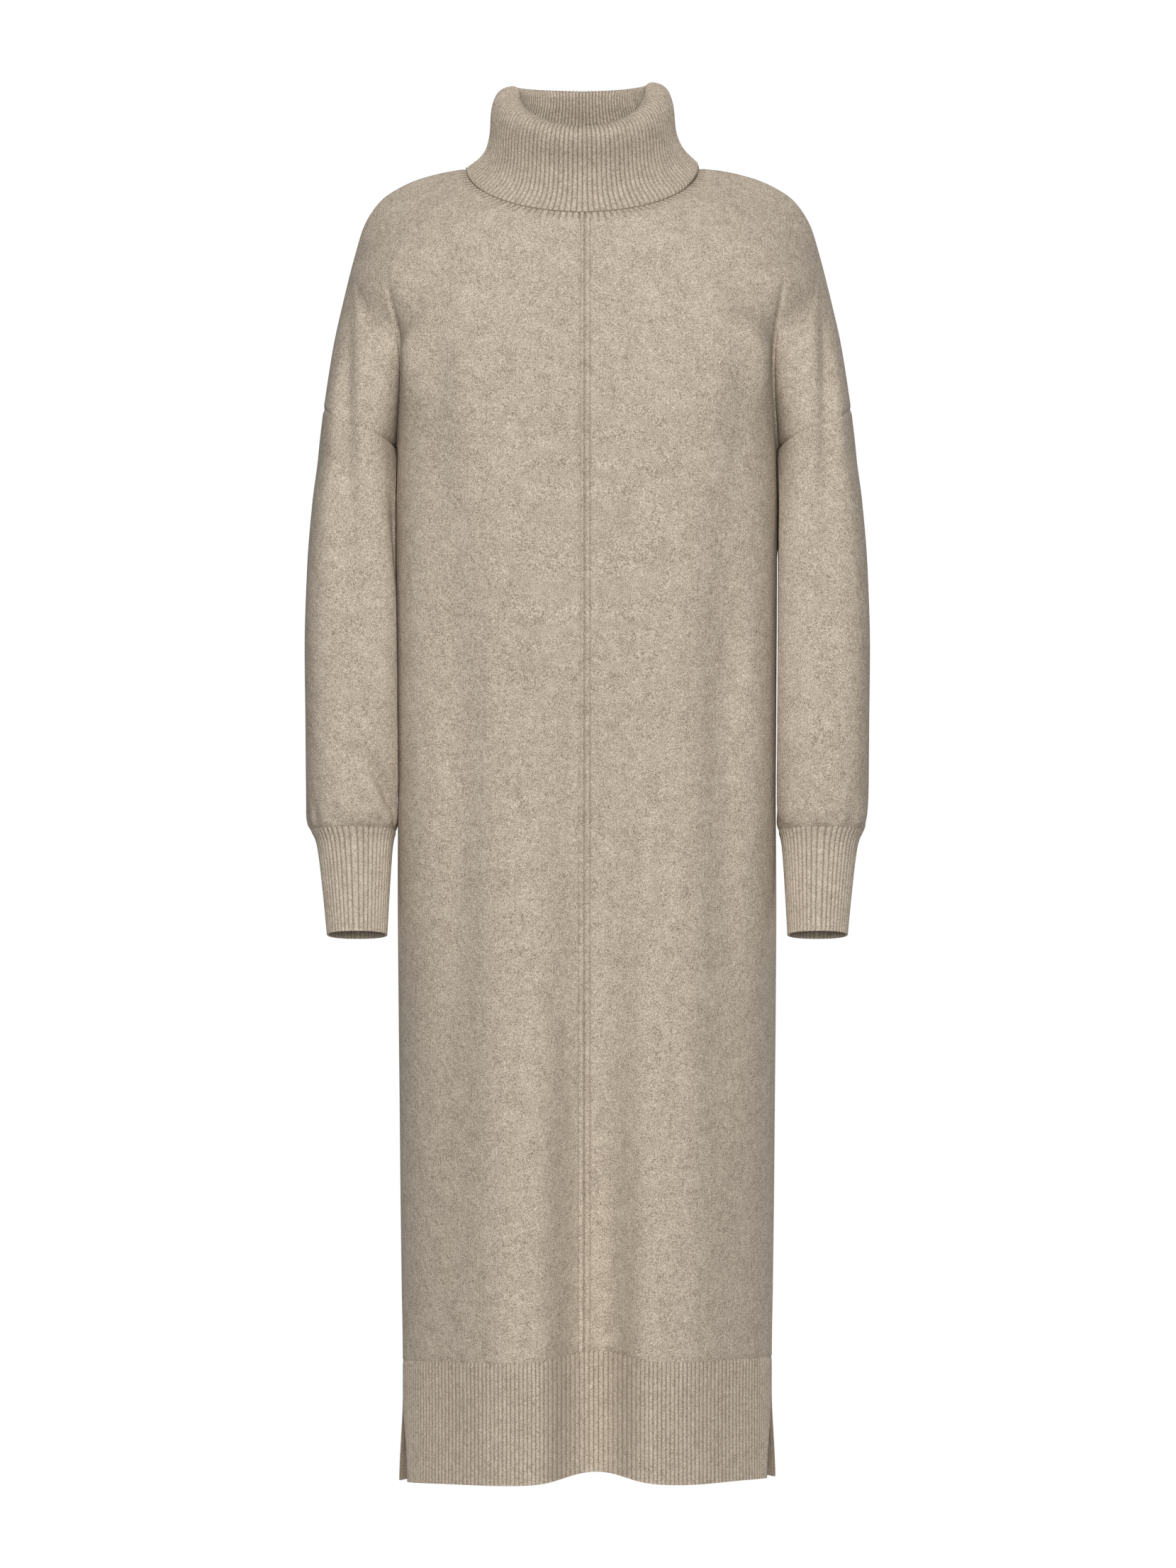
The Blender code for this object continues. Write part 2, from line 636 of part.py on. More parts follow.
def with_centre_line(outer, inner):
    """A front wall's rows with a column close to each side of a raised centre line."""
    middle = len(outer[0]) // 2
    for rows in (outer, inner):
        for row in rows:
            beside = []
            for neighbour in (row[middle - 1], row[middle + 1]):
                share = LINE_HALF_WIDTH / (neighbour - row[middle]).length
                beside.append(row[middle].lerp(neighbour, share))
            row[middle:middle + 1] = [beside[0], row[middle], beside[1]]
    middle += 1
    for out, inn in zip(outer[1:-1], inner[1:-1]):
        out[middle] += (out[middle] - inn[middle]).normalized() * LINE_RAISE


def knit_material(name, colour, roughness):
    material = bpy.data.materials.new(name)
    material.use_nodes = True
    shader = material.node_tree.nodes["Principled BSDF"]
    shader.inputs["Base Color"].default_value = (*colour, 1)
    shader.inputs["Roughness"].default_value = roughness
    shader.inputs["Metallic"].default_value = 0
    return material


def clear_scene():
    for thing in list(bpy.data.objects):
        bpy.data.objects.remove(thing, do_unlink=True)
    collection = bpy.data.collections.new("sweater_dress")
    bpy.context.scene.collection.children.link(collection)


def main():
    clear_scene()
    plain = knit_material("plain_knit", (0.50, 0.43, 0.34), 0.95)
    rib = knit_material("rib_knit", (0.47, 0.40, 0.32), 0.95)

    front, back = body_grid(FRONT), body_grid(BACK)
    sleeves = {side: sleeve_grid(side) for side in (RIGHT, LEFT)}
    cuffs = {side: tube_grid(CUFF, side) for side in (RIGHT, LEFT)}
    hems = {face: hem_grid(face) for face in (FRONT, BACK)}
    collar = collar_grid()
    normals = shared_normals(
        [(front, False), (back, False), (collar, True)]
        + [(rows, True) for rows in (*sleeves.values(), *cuffs.values())]
        + [(rows, False) for rows in hems.values()])
    for side in (RIGHT, LEFT):
        normals[key_of(underarm_point(side, FRONT, TORSO_SHARE))] = Vector((0, 0, -1))

    outer, inner = wall_points(front, False, normals, KNIT)
    with_centre_line(outer, inner)
    add_wall("front_panel", outer, inner, False, plain)
    outer, inner = wall_points(back, False, normals, KNIT)
    add_wall("back_panel", outer, inner, False, plain)

    for side, word in ((RIGHT, "right"), (LEFT, "left")):
        outer, inner = wall_points(sleeves[side], True, normals, KNIT)
        add_wall(f"sleeve_{word}", outer, inner, True, plain)
        outer, inner = wall_points(cuffs[side], True, normals, RIB_KNIT)
        outer = ribbed(outer, inner, True, CUFF_RIB_COLUMNS)
        add_wall(f"cuff_{word}", outer, inner, True, rib, CUFF_RIB_COLUMNS)

    for face, word in ((FRONT, "front"), (BACK, "back")):
        outer, inner = wall_points(hems[face], False, normals, RIB_KNIT)
        outer = ribbed(outer, inner, False, HEM_RIB_COLUMNS)
        add_wall(f"hem_rib_{word}", outer, inner, False, rib, HEM_RIB_COLUMNS)

    outer, inner = wall_points(collar, True, normals, RIB_KNIT)
    outer = ribbed(outer, inner, True, COLLAR_RIB_COLUMNS)
    add_wall("collar", outer, inner, True, rib, COLLAR_RIB_COLUMNS)


main()
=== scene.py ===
"""Roll-neck sweater dress in fine felted knit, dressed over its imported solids.

Every knitted piece is one curved sheet, worked out from the garment's own sizes, with its
folds, creases, ribs and seams moved into its points, and then given its thickness.
Metres, +Z up, the front faces -Y, and the wearer's left is +X.
"""
import math
from collections import namedtuple

import bpy
import numpy as np
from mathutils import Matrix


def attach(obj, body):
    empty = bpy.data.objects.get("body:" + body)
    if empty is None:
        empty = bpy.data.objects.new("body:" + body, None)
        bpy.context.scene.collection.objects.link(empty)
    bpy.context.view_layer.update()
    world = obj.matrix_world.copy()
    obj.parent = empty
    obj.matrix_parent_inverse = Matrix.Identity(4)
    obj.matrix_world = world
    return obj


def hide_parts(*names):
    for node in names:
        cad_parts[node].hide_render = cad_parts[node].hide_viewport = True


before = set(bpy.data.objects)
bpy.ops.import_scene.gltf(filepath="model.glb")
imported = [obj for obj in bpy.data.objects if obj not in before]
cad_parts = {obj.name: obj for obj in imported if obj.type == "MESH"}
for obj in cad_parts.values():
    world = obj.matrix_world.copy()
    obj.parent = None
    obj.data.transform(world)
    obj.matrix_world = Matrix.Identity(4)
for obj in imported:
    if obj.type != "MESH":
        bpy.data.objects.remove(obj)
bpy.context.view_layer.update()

FRONT, BACK = -1, 1
RIGHT, LEFT = -1, 1     # the wearer's own sides

# Cloth: thickness of plain knit and of rib, at the bottom of its grooves
KNIT = 0.0025
RIB_KNIT = 0.0022
RIB_RAISE, HEM_RIB_RAISE = 0.0011, 0.0007   # crest of a rib over its groove
SEAM_DIP = 0.0011       # how deep a seam draws the cloth in
SEAM_REACH = 0.0022     # and how far from the seam
BAND_DIP = 0.5          # share of it at the top of the hem band
WALE = 0.00135          # one column of stitches
THREAD = 0.00028        # half the thickness of the linking thread

# The raised line down the centre front: a strip between two grooves
STRIP_X, STRIP_WIDTH, STRIP_RAISE = -0.0004, 0.0013, 0.0006
LINE_X, LINE_WIDTH, LINE_DIP = (-0.0025, 0.0024), 0.0009, 0.0011

# Ribs and the points across each
COLLAR_RIBS = 120
HEM_RIBS = 105
CUFF_RIBS = 46
RIB_COLUMNS = 7
EDGE_LOSS, EDGE_REACH = 0.6, 0.0015     # how flat the ribs get at a free edge, and how near it

FAR = 1.0               # a distance that nothing reaches
SAME = 1e-6             # columns closer than this are one
MERGE = 2e-5            # and points closer than this
SMOOTH_ANGLE, THREAD_ANGLE = math.radians(55), math.radians(80)   # sharper edges stay sharp

# Neck seam
CENTRE_X = -0.0044
NECK_HALF_WIDTH, NECK_HALF_DEPTH, NECK_Y = 0.1045, 0.080, -0.008
FRONT_NECK_DROP, BACK_NECK_DROP = 0.0445, 0.006
SHOULDER_STARTS = 0.5   # yoke steps in which the shoulder leaves the neck seam
SHOULDER_REACH = 0.30   # length of cloth from the centre round to the shoulder seam
SHOULDER_DIP = 0.5      # share of a seam's depth at the shoulder seam

# Crest of the collar's fold
CREST_FRONT, CREST_BACK = 0.033, 0.0725
CREST_RIGHT, CREST_LEFT = 0.0725, 0.0760
NECK_LEAN = 0.006
LEFT_FLARE, FLARE_RISE = 0.006, 0.10

# Armhole seam, underarm and crease
TORSO_SHARE = 0.6       # the side seam's place between the centre and the shoulder seam
UNDERARM = -0.250
UNDERARM_X = 0.1712
OUTER_ARMHOLE = -0.217
CREASE_TOP = -0.085
CREASE_SWAY, SWAY_RISE = 0.20, 3
CREASE_SPREAD = 0.07
CREASE_POWER, UNDERARM_POWER = 1.0, 0.7
BODY_CLOSING, ARM_CLOSING = 5.0, 3.5    # how soon each wall of the crease closes up
CREASE_STARTS = 0.5     # share of its height in which it forms, and its edge in the same share
EDGE_SQUARENESS = 8.0   # of the body's edge, high in the crease
GROOVE_TOP, GROOVE_FULL, GROOVE_LOW = -0.075, -0.125, -0.185
GROOVE_DIP, GROOVE_REACH = 0.0012, 0.0026
SWAY_POWER = math.log(0.5) / math.log(TORSO_SHARE)
MERGED_SQUARENESS, ARM_SQUARENESS, CUFF_SQUARENESS = 2.6, 3.0, 2.3
CUFF_ROUNDS = 0.14      # height over the cuff in which a sleeve takes on its roundness
SLEEVE_CLEARANCE = 0.0012
SIDE_FADES = 0.7        # share of the half width past which folds fade out to the side seam
TUCK, TUCK_Y, TUCK_DEPTH = 0.0050, 0.030, 0.018     # cloth of the back folded out under the arm
TUCK_LOW, TUCK_FADES = -0.300, -0.370

# Hem and side slits. The hem rises from the side seams to the middle, in a fold at the middle
# of the front, and again a little at the wearer's left
BAND_TOP = -1.068
SLIT_TOP = -1.098
HEM = -1.177
HEM_ARCH = 0.0045
HEM_LIFT, HEM_LIFT_X, HEM_LIFT_WIDTH = 0.0085, 0.008, 0.036
LIFT_STARTS = -0.62
SIDE_LIFT, SIDE_LIFT_X = 0.0035, 0.080
SLIT_SPREAD = 0.25      # share of a band's half that the slit's edge carries with it
FRONT_EDGE_IN, FRONT_EDGE_FORWARD = 0.0060, 0.0110
BACK_EDGE_OUT, BACK_EDGE_BEHIND = 0.0025, 0.0050

# Cuffs, and the small gathers over them
CUFF_TILT = math.tan(math.radians(8))
TILT_STARTS, TILT_ENDS = -0.50, -0.66
CUFF_TOP, CUFF_END = -0.594, -0.687
GATHER, GATHER_REACH, GATHER_STARTS = 0.0011, 0.020, 0.008
GATHER_TURNS, GATHER_SWAY, SWAY_TURNS = 31, 1.7, 9

# How the wales turn round the outer side of the arms and, below the change, of the body
Turn = namedtuple("Turn", "outer radius")
ARM_TURN, BODY_TURN = Turn(0.240, 0.045), Turn(0.1705, 0.090)
TURN_CHANGES, TURN_CHANGED = -0.17, -0.30
COURSES_LEVEL = -0.9    # height from which the courses lie level

# Rings of body and skirt, from the underarm down, with the depth in front and behind
Ring = namedtuple("Ring", "height half_width front back squareness")
TORSO = (
    Ring(UNDERARM, 0.1690, 0.1175, 0.1110, 4.20),
    Ring(-0.263, 0.1692, 0.1180, 0.1109, 4.30),
    Ring(-0.310, 0.1702, 0.1195, 0.1090, 4.60),
    Ring(-0.390, 0.1700, 0.1185, 0.1045, 4.90),
    Ring(-0.480, 0.1695, 0.1145, 0.1010, 4.80),
    Ring(-0.570, 0.1690, 0.1120, 0.1040, 4.20),
    Ring(-0.660, 0.1695, 0.1110, 0.1105, 3.20),
    Ring(-0.750, 0.1690, 0.1105, 0.1130, 2.60),
    Ring(-0.840, 0.1682, 0.1095, 0.1115, 2.25),
    Ring(-0.920, 0.1675, 0.1085, 0.1095, 2.02),
    Ring(-1.000, 0.1665, 0.1075, 0.1075, 1.90),
    Ring(BAND_TOP, 0.1655, 0.1065, 0.1060, 1.80),
    Ring(SLIT_TOP, 0.1655, 0.1065, 0.1060, 1.78),
    Ring(-1.140, 0.1660, 0.1067, 0.1062, 1.76),
    Ring(HEM, 0.1665, 0.1070, 0.1065, 1.75),
)

# Rings of a sleeve and of a cuff: the side next to the body, the outer side, the middle of the
# depth, and the depth in front of it and behind
Tube = namedtuple("Tube", "height inner outer middle front back")
ARM = (
    Tube(OUTER_ARMHOLE, 0.1717, 0.2365, 0.007, 0.078, 0.060),
    Tube(UNDERARM, 0.1713, 0.2403, 0.007, 0.077, 0.060),
    Tube(-0.263, 0.1700, 0.2415, 0.004, 0.073, 0.060),
    Tube(-0.300, 0.1670, 0.2460, -0.009, 0.062, 0.059),
    Tube(-0.360, 0.1640, 0.2505, -0.020, 0.056, 0.058),
    Tube(-0.430, 0.1635, 0.2525, -0.025, 0.053, 0.057),
    Tube(-0.500, 0.1640, 0.2518, -0.027, 0.050, 0.055),
    Tube(-0.545, 0.1645, 0.2515, -0.028, 0.049, 0.053),
    Tube(-0.578, 0.1655, 0.2508, -0.029, 0.046, 0.049),
    Tube(CUFF_TOP, 0.1695, 0.2482, -0.030, 0.041, 0.042),
)
CUFF = (
    Tube(CUFF_TOP, 0.1695, 0.2482, -0.030, 0.041, 0.042),
    Tube(-0.600, 0.1722, 0.2440, -0.030, 0.038, 0.039),
    Tube(-0.610, 0.1738, 0.2412, -0.031, 0.035, 0.036),
    Tube(-0.650, 0.1765, 0.2362, -0.035, 0.031, 0.032),
    Tube(CUFF_END, 0.1785, 0.2325, -0.038, 0.029, 0.030),
)

# Yoke rings from the neck seam (step 0) to the underarm ring (step 12): shares of the way out
# and down on the centre line, and places on the shoulder seam
Yoke = namedtuple("Yoke", "step out_centre down_centre shoulder_x shoulder_z")
YOKE = (
    Yoke(0, 0.000, 0.000, NECK_HALF_WIDTH, 0.0000),
    Yoke(1, 0.090, 0.050, 0.1332, -0.0053),
    Yoke(2, 0.195, 0.110, 0.1535, -0.0110),
    Yoke(3, 0.310, 0.180, 0.1708, -0.0190),
    Yoke(4, 0.430, 0.260, 0.1828, -0.0270),
    Yoke(5, 0.550, 0.350, 0.1928, -0.0385),
    Yoke(6, 0.670, 0.450, 0.2008, -0.0530),
    Yoke(7, 0.790, 0.570, 0.2085, -0.0780),
    Yoke(8, 0.885, 0.700, 0.2180, -0.1150),
    Yoke(9, 0.955, 0.830, 0.2275, -0.1580),
    Yoke(10, 0.985, 0.920, 0.2325, -0.1895),
    Yoke(11, 0.995, 0.965, 0.2347, -0.2050),
    Yoke(12, 1.000, 1.000, 0.2365, OUTER_ARMHOLE),
)

# The collar's path up from the neck seam, over the fold and down inside: rise is the share of
# the height of its crest
CollarRing = namedtuple("CollarRing", "step rise half_width half_depth")
COLLAR = (
    CollarRing(0, 0.000, NECK_HALF_WIDTH, NECK_HALF_DEPTH),
    CollarRing(1, 0.060, 0.0975, 0.0768),
    CollarRing(2, 0.130, 0.0915, 0.0738),
    CollarRing(3, 0.220, 0.0868, 0.0708),
    CollarRing(4, 0.330, 0.0843, 0.0688),
    CollarRing(5, 0.460, 0.0828, 0.0682),
    CollarRing(6, 0.600, 0.0824, 0.0698),
    CollarRing(7, 0.730, 0.0814, 0.0734),
    CollarRing(8, 0.840, 0.0790, 0.0748),
    CollarRing(9, 0.915, 0.0760, 0.0726),
    CollarRing(10, 0.972, 0.0708, 0.0672),
    CollarRing(11, 1.000, 0.0630, 0.0592),
    CollarRing(12, 0.978, 0.0580, 0.0502),
    CollarRing(13, 0.915, 0.0560, 0.0482),
    CollarRing(14, 0.830, 0.0562, 0.0482),
    CollarRing(15, 0.650, 0.0605, 0.0510),
    CollarRing(16, 0.400, 0.0690, 0.0560),
    CollarRing(17, 0.130, 0.0795, 0.0620),
)

# Folds and creases of body and skirt: place across at the top and at the bottom, where
# the fold starts, is deepest and ends, half width, height over the cloth, and power, which
# is 2 for a round fold and 3 for one with a flatter top and steeper walls
Fold = namedtuple("Fold", "face x_top x_low top deepest low half_width raise_by power")
NO_END = -9.0           # low end of a fold that runs on through the hem
BODY_FOLDS = (
    Fold(FRONT, 0.000, 0.006, -0.44, -0.64, NO_END, 0.034, -0.0110, 3),
    Fold(FRONT, 0.006, 0.004, -0.62, -1.17, NO_END, 0.0335, -0.0300, 3),
    Fold(FRONT, -0.065, -0.063, -0.38, -0.90, NO_END, 0.050, 0.0190, 3),
    Fold(FRONT, 0.076, 0.075, -0.46, -1.00, NO_END, 0.044, 0.0130, 3),
    Fold(FRONT, -0.150, -0.150, -0.16, -0.38, -0.95, 0.050, -0.0160, 3),
    Fold(FRONT, 0.150, 0.150, -0.16, -0.38, -0.95, 0.048, -0.0160, 3),
    Fold(FRONT, -0.110, -0.108, -0.30, -0.55, -1.10, 0.021, -0.0070, 2),
    Fold(FRONT, 0.123, 0.121, -0.26, -0.50, -0.98, 0.018, -0.0070, 2),
    Fold(FRONT, -0.146, -0.143, -0.06, -0.19, -0.36, 0.025, -0.0120, 3),
    Fold(FRONT, 0.150, 0.146, -0.07, -0.19, -0.36, 0.025, -0.0105, 3),
    Fold(BACK, 0.000, 0.004, -0.30, -0.50, -0.75, 0.050, -0.0070, 2),
    Fold(BACK, -0.070, -0.062, -0.62, -1.08, NO_END, 0.034, -0.0120, 2),
    Fold(BACK, 0.052, 0.060, -0.66, -1.08, NO_END, 0.036, -0.0130, 2),
    Fold(BACK, -0.004, -0.002, -0.60, -1.05, NO_END, 0.036, 0.0080, 2),
    Fold(BACK, -0.118, -0.112, -0.13, -0.24, -0.45, 0.026, -0.0050, 2),
    Fold(BACK, 0.122, 0.116, -0.12, -0.23, -0.42, 0.026, -0.0050, 2),
)

# Folds of the arms: share of the way from the body round to the outer side at the top and
# at the bottom, heights, half width as a share, and height over the cloth
ArmFold = namedtuple(
    "ArmFold", "side face share_top share_low top deepest low half_width raise_by")
ARM_FOLDS = (
    ArmFold(RIGHT, BACK, 0.55, 0.55, -0.10, -0.20, -0.36, 0.110, -0.0045),
    ArmFold(LEFT, BACK, 0.50, 0.50, -0.10, -0.21, -0.34, 0.110, -0.0045),
    ArmFold(RIGHT, FRONT, 0.24, 0.06, -0.26, -0.34, -0.44, 0.080, -0.0060),
    ArmFold(RIGHT, FRONT, 0.63, 0.00, -0.50, -0.565, -0.602, 0.080, -0.0110),
    ArmFold(RIGHT, FRONT, 0.10, 0.10, -0.46, -0.55, -0.60, 0.110, 0.0025),
    ArmFold(RIGHT, BACK, 0.45, 0.30, -0.48, -0.55, -0.59, 0.150, -0.0050),
    ArmFold(LEFT, BACK, 0.60, 0.40, -0.47, -0.54, -0.59, 0.150, -0.0050),
)

# Narrow folds down the front of the upper arms: distance from the middle of the dress at the
# top and at the bottom, heights, widths of the steep inner wall and of the gentle outer one,
# and height over the cloth
OuterFold = namedtuple("OuterFold", "side x_top x_low top deepest low inner outer raise_by")
OUTER_FOLDS = (
    OuterFold(RIGHT, 0.2145, 0.2110, -0.075, -0.190, -0.430, 0.0062, 0.0150, -0.0095),
    OuterFold(LEFT, 0.2105, 0.2140, -0.075, -0.180, -0.400, 0.0060, 0.0140, -0.0085),
)


# ---------------------------------------------------------------- curves

def smooth(share):
    share = np.clip(share, 0.0, 1.0)
    return share * share * (3 - 2 * share)


def ramp(height, top, deepest, low):
    """0 at the top and low ends of a fold, 1 where it is deepest."""
    falling = smooth((top - height) / (top - deepest))
    rising = smooth((height - low) / (deepest - low))
    return np.where(height >= deepest, falling, rising)


def flow(table, at):
    """The other columns of a table where its first is at, along curves with no overshoot."""
    rows = np.array(table, float)
    rows = rows[np.argsort(rows[:, 0])]
    knots, values = rows[:, 0], rows[:, 1:]
    secants = np.diff(values, axis=0) / np.diff(knots)[:, None]
    product = secants[1:] * secants[:-1]
    total = secants[1:] + secants[:-1]
    slopes = np.empty_like(values)
    slopes[0], slopes[-1] = secants[0], secants[-1]
    slopes[1:-1] = np.where(product > 0, 2 * product / np.where(total == 0, 1, total), 0)
    at = np.clip(at, knots[0], knots[-1])
    cell = np.clip(np.searchsorted(knots, at, side="right") - 1, 0, len(knots) - 2)
    span = (knots[cell + 1] - knots[cell])[..., None]
    t = (at - knots[cell])[..., None] / span
    start, end = values[cell], values[cell + 1]
    curve = (start * (1 + 2 * t) * (1 - t) ** 2 + slopes[cell] * span * t * (1 - t) ** 2
             + end * t * t * (3 - 2 * t) + slopes[cell + 1] * span * t * t * (t - 1))
    return np.moveaxis(curve, -1, 0)


ANGLES = np.linspace(0, math.pi / 2, 361)


def quarter(width, depth, squareness, shares):
    """Points at shares of the way round a quarter superellipse, by length."""
    x = width * np.sin(ANGLES) ** (2 / squareness)
    y = depth * np.maximum(np.cos(ANGLES), 0) ** (2 / squareness)
    lengths = np.concatenate(([0], np.cumsum(np.hypot(np.diff(x), np.diff(y)))))
    wanted = shares * lengths[-1]
    return np.interp(wanted, lengths, x), np.interp(wanted, lengths, y)


# ---------------------------------------------------------------- garment surfaces
# Columns are signed shares: 0 is the centre line, -1 the far end at the wearer's right.

def body_fold(face, x, height):
    raised = 0.0
    for fold in BODY_FOLDS:
        if fold.face != face:
            continue
        low = max(fold.low, HEM)
        share = np.clip((fold.top - height) / (fold.top - low), 0, 1)
        middle = fold.x_top + (fold.x_low - fold.x_top) * share
        across = np.abs(x - middle) / fold.half_width
        raised = raised + fold.raise_by * np.exp(-across ** fold.power) * ramp(
            height, fold.top, fold.deepest, fold.low)
    return raised


def hem_rise(face, x, height, half_width):
    """How far the cloth near the hem lies above its height at the side seam."""
    strength = smooth((LIFT_STARTS - height) / (LIFT_STARTS - HEM))
    rise = HEM_ARCH * (1 - (x / half_width) ** 2)
    rise = rise + SIDE_LIFT * smooth((x - SIDE_LIFT_X) / (half_width - SIDE_LIFT_X))
    if face == FRONT:
        rise = rise + HEM_LIFT * np.exp(-((x - HEM_LIFT_X) / HEM_LIFT_WIDTH) ** 2)
    return rise * strength


def side_fade(share):
    return 1 - smooth((share - SIDE_FADES) / (1 - SIDE_FADES))


def back_tuck(y, height):
    """Cloth of the back that stands out behind the arm, below the armhole."""
    low = smooth((height - TUCK_FADES) / (TUCK_LOW - TUCK_FADES))
    return TUCK * np.exp(-((y - TUCK_Y) / TUCK_DEPTH) ** 2) * smooth(y / TUCK_DEPTH) * low


def torso(face, columns, heights, folded=True):
    """Body and skirt, a row for each height."""
    side, share = np.sign(columns), np.abs(columns)
    widths, fronts, backs, squares = flow(TORSO, heights)
    depths = fronts if face == FRONT else backs
    points = np.empty((len(heights), len(columns), 3))
    for row, height in enumerate(heights):
        x, y = quarter(widths[row], depths[row], squares[row], share)
        x = side * x + CENTRE_X * (1 - share)
        if face == BACK:
            x = x + side * back_tuck(y, height)
        if folded:
            y = y + body_fold(face, x, height) * side_fade(share)
        points[row, :, 0] = x
        points[row, :, 1] = face * y
        points[row, :, 2] = height + hem_rise(face, x, height, widths[row])
    return points


def torso_reach(y, height):
    """How far the side of the body reaches from the middle at a depth."""
    width, front, back, square = flow(TORSO, height)
    share = np.minimum(1.0, np.abs(y) / np.where(y < 0, front, back))
    return width * (1 - share ** square) ** (1 / square)


def arm_fold(side, face, share, height):
    raised = 0.0
    for fold in ARM_FOLDS:
        if (fold.side, fold.face) == (side, face):
            down = np.clip((fold.top - height) / (fold.top - fold.low), 0, 1)
            middle = fold.share_top + (fold.share_low - fold.share_top) * down
            across = (share - middle) / fold.half_width
            raised = raised + fold.raise_by * np.exp(-across ** 2) * ramp(
                height, fold.top, fold.deepest, fold.low)
    return raised


def arm(table, side, face, share, height):
    """Sleeve or cuff: share 0 is next to the body and share 1 the outer side."""
    inner, outer, middle, front, back = flow(table, height)
    power = 2 / (CUFF_SQUARENESS + (ARM_SQUARENESS - CUFF_SQUARENESS) * smooth(
        (height - CUFF_TOP) / CUFF_ROUNDS))
    cosine, sine = np.cos(math.pi * share), np.sin(math.pi * share)
    across = np.sign(cosine) * np.abs(cosine) ** power
    along = np.maximum(0.0, sine) ** power
    raised = arm_fold(side, face, share, height)
    half_width = (outer - inner) / 2 + raised * np.abs(across)
    depth = (front if face == FRONT else back) + raised
    x = (outer + inner) / 2 - half_width * across
    y = middle + face * depth * along
    x = np.maximum(x, torso_reach(y, height) + SLEEVE_CLEARANCE)
    tilt = CUFF_TILT * smooth((TILT_STARTS - height) / (TILT_STARTS - TILT_ENDS))
    return np.stack((side * x, y, height - tilt * (y - middle)), axis=-1)


def outer_fold(x, z):
    """Height over the cloth of the narrow folds on the front of the arms."""
    raised = 0.0
    for fold in OUTER_FOLDS:
        down = np.clip((fold.top - z) / (fold.top - fold.low), 0, 1)
        across = fold.side * x - fold.x_top - (fold.x_low - fold.x_top) * down
        across = across / np.where(across < 0, fold.inner, fold.outer)
        raised = raised + fold.raise_by * np.exp(-across ** 2) * ramp(
            z, fold.top, fold.deepest, fold.low)
    return raised


def armhole_height(share):
    return UNDERARM + (OUTER_ARMHOLE - UNDERARM) * (1 - np.cos(math.pi * share)) / 2


def neck(face, columns):
    angle = math.pi / 2 * np.abs(columns)
    drop = FRONT_NECK_DROP if face == FRONT else BACK_NECK_DROP
    return np.stack((
        CENTRE_X + np.sign(columns) * NECK_HALF_WIDTH * np.sin(angle),
        NECK_Y + face * NECK_HALF_DEPTH * np.cos(angle),
        -drop * np.cos(angle)), axis=-1)


def underarm(face, columns):
    """The ring where the yoke ends: body and arms, parted by the crease."""
    share = np.abs(columns)
    points = torso(face, np.clip(columns / TORSO_SHARE, -1, 1), [UNDERARM], folded=False)[0]
    arm_share = np.clip((share - TORSO_SHARE) / (1 - TORSO_SHARE), 0, 1)
    for side in (RIGHT, LEFT):
        on_arm = (share > TORSO_SHARE) & (np.sign(columns) == side)
        points[on_arm] = arm(
            ARM, side, face, arm_share[on_arm], armhole_height(arm_share[on_arm]))
    at_crease = np.abs(share - TORSO_SHARE) < SAME
    points[at_crease, 0] = np.sign(columns[at_crease]) * UNDERARM_X
    points[at_crease, 1] = 0
    points[at_crease, 2] = UNDERARM
    return points


def merged(face, columns, left):
    """The underarm ring with no crease, its columns swayed outwards towards the top."""
    side, share = np.sign(columns), np.abs(columns)
    outer, middle = ARM[0].outer, ARM[0].middle
    depth = TORSO[0].front if face == FRONT else TORSO[0].back
    swayed = share + CREASE_SWAY * left ** SWAY_RISE * np.sin(math.pi * share ** SWAY_POWER)
    x, y = quarter(outer, depth, MERGED_SQUARENESS, swayed)
    return side * x + CENTRE_X * (1 - share), middle * (x / outer) ** 2 + face * y


def body_edge(face, columns):
    """The body's part of the underarm ring with a crisper edge."""
    share = np.clip(np.abs(columns) / TORSO_SHARE, 0, 1)
    depth = TORSO[0].front if face == FRONT else TORSO[0].back
    x, y = quarter(TORSO[0].half_width, depth, EDGE_SQUARENESS, share)
    return np.sign(columns) * x + CENTRE_X * (1 - share), face * y


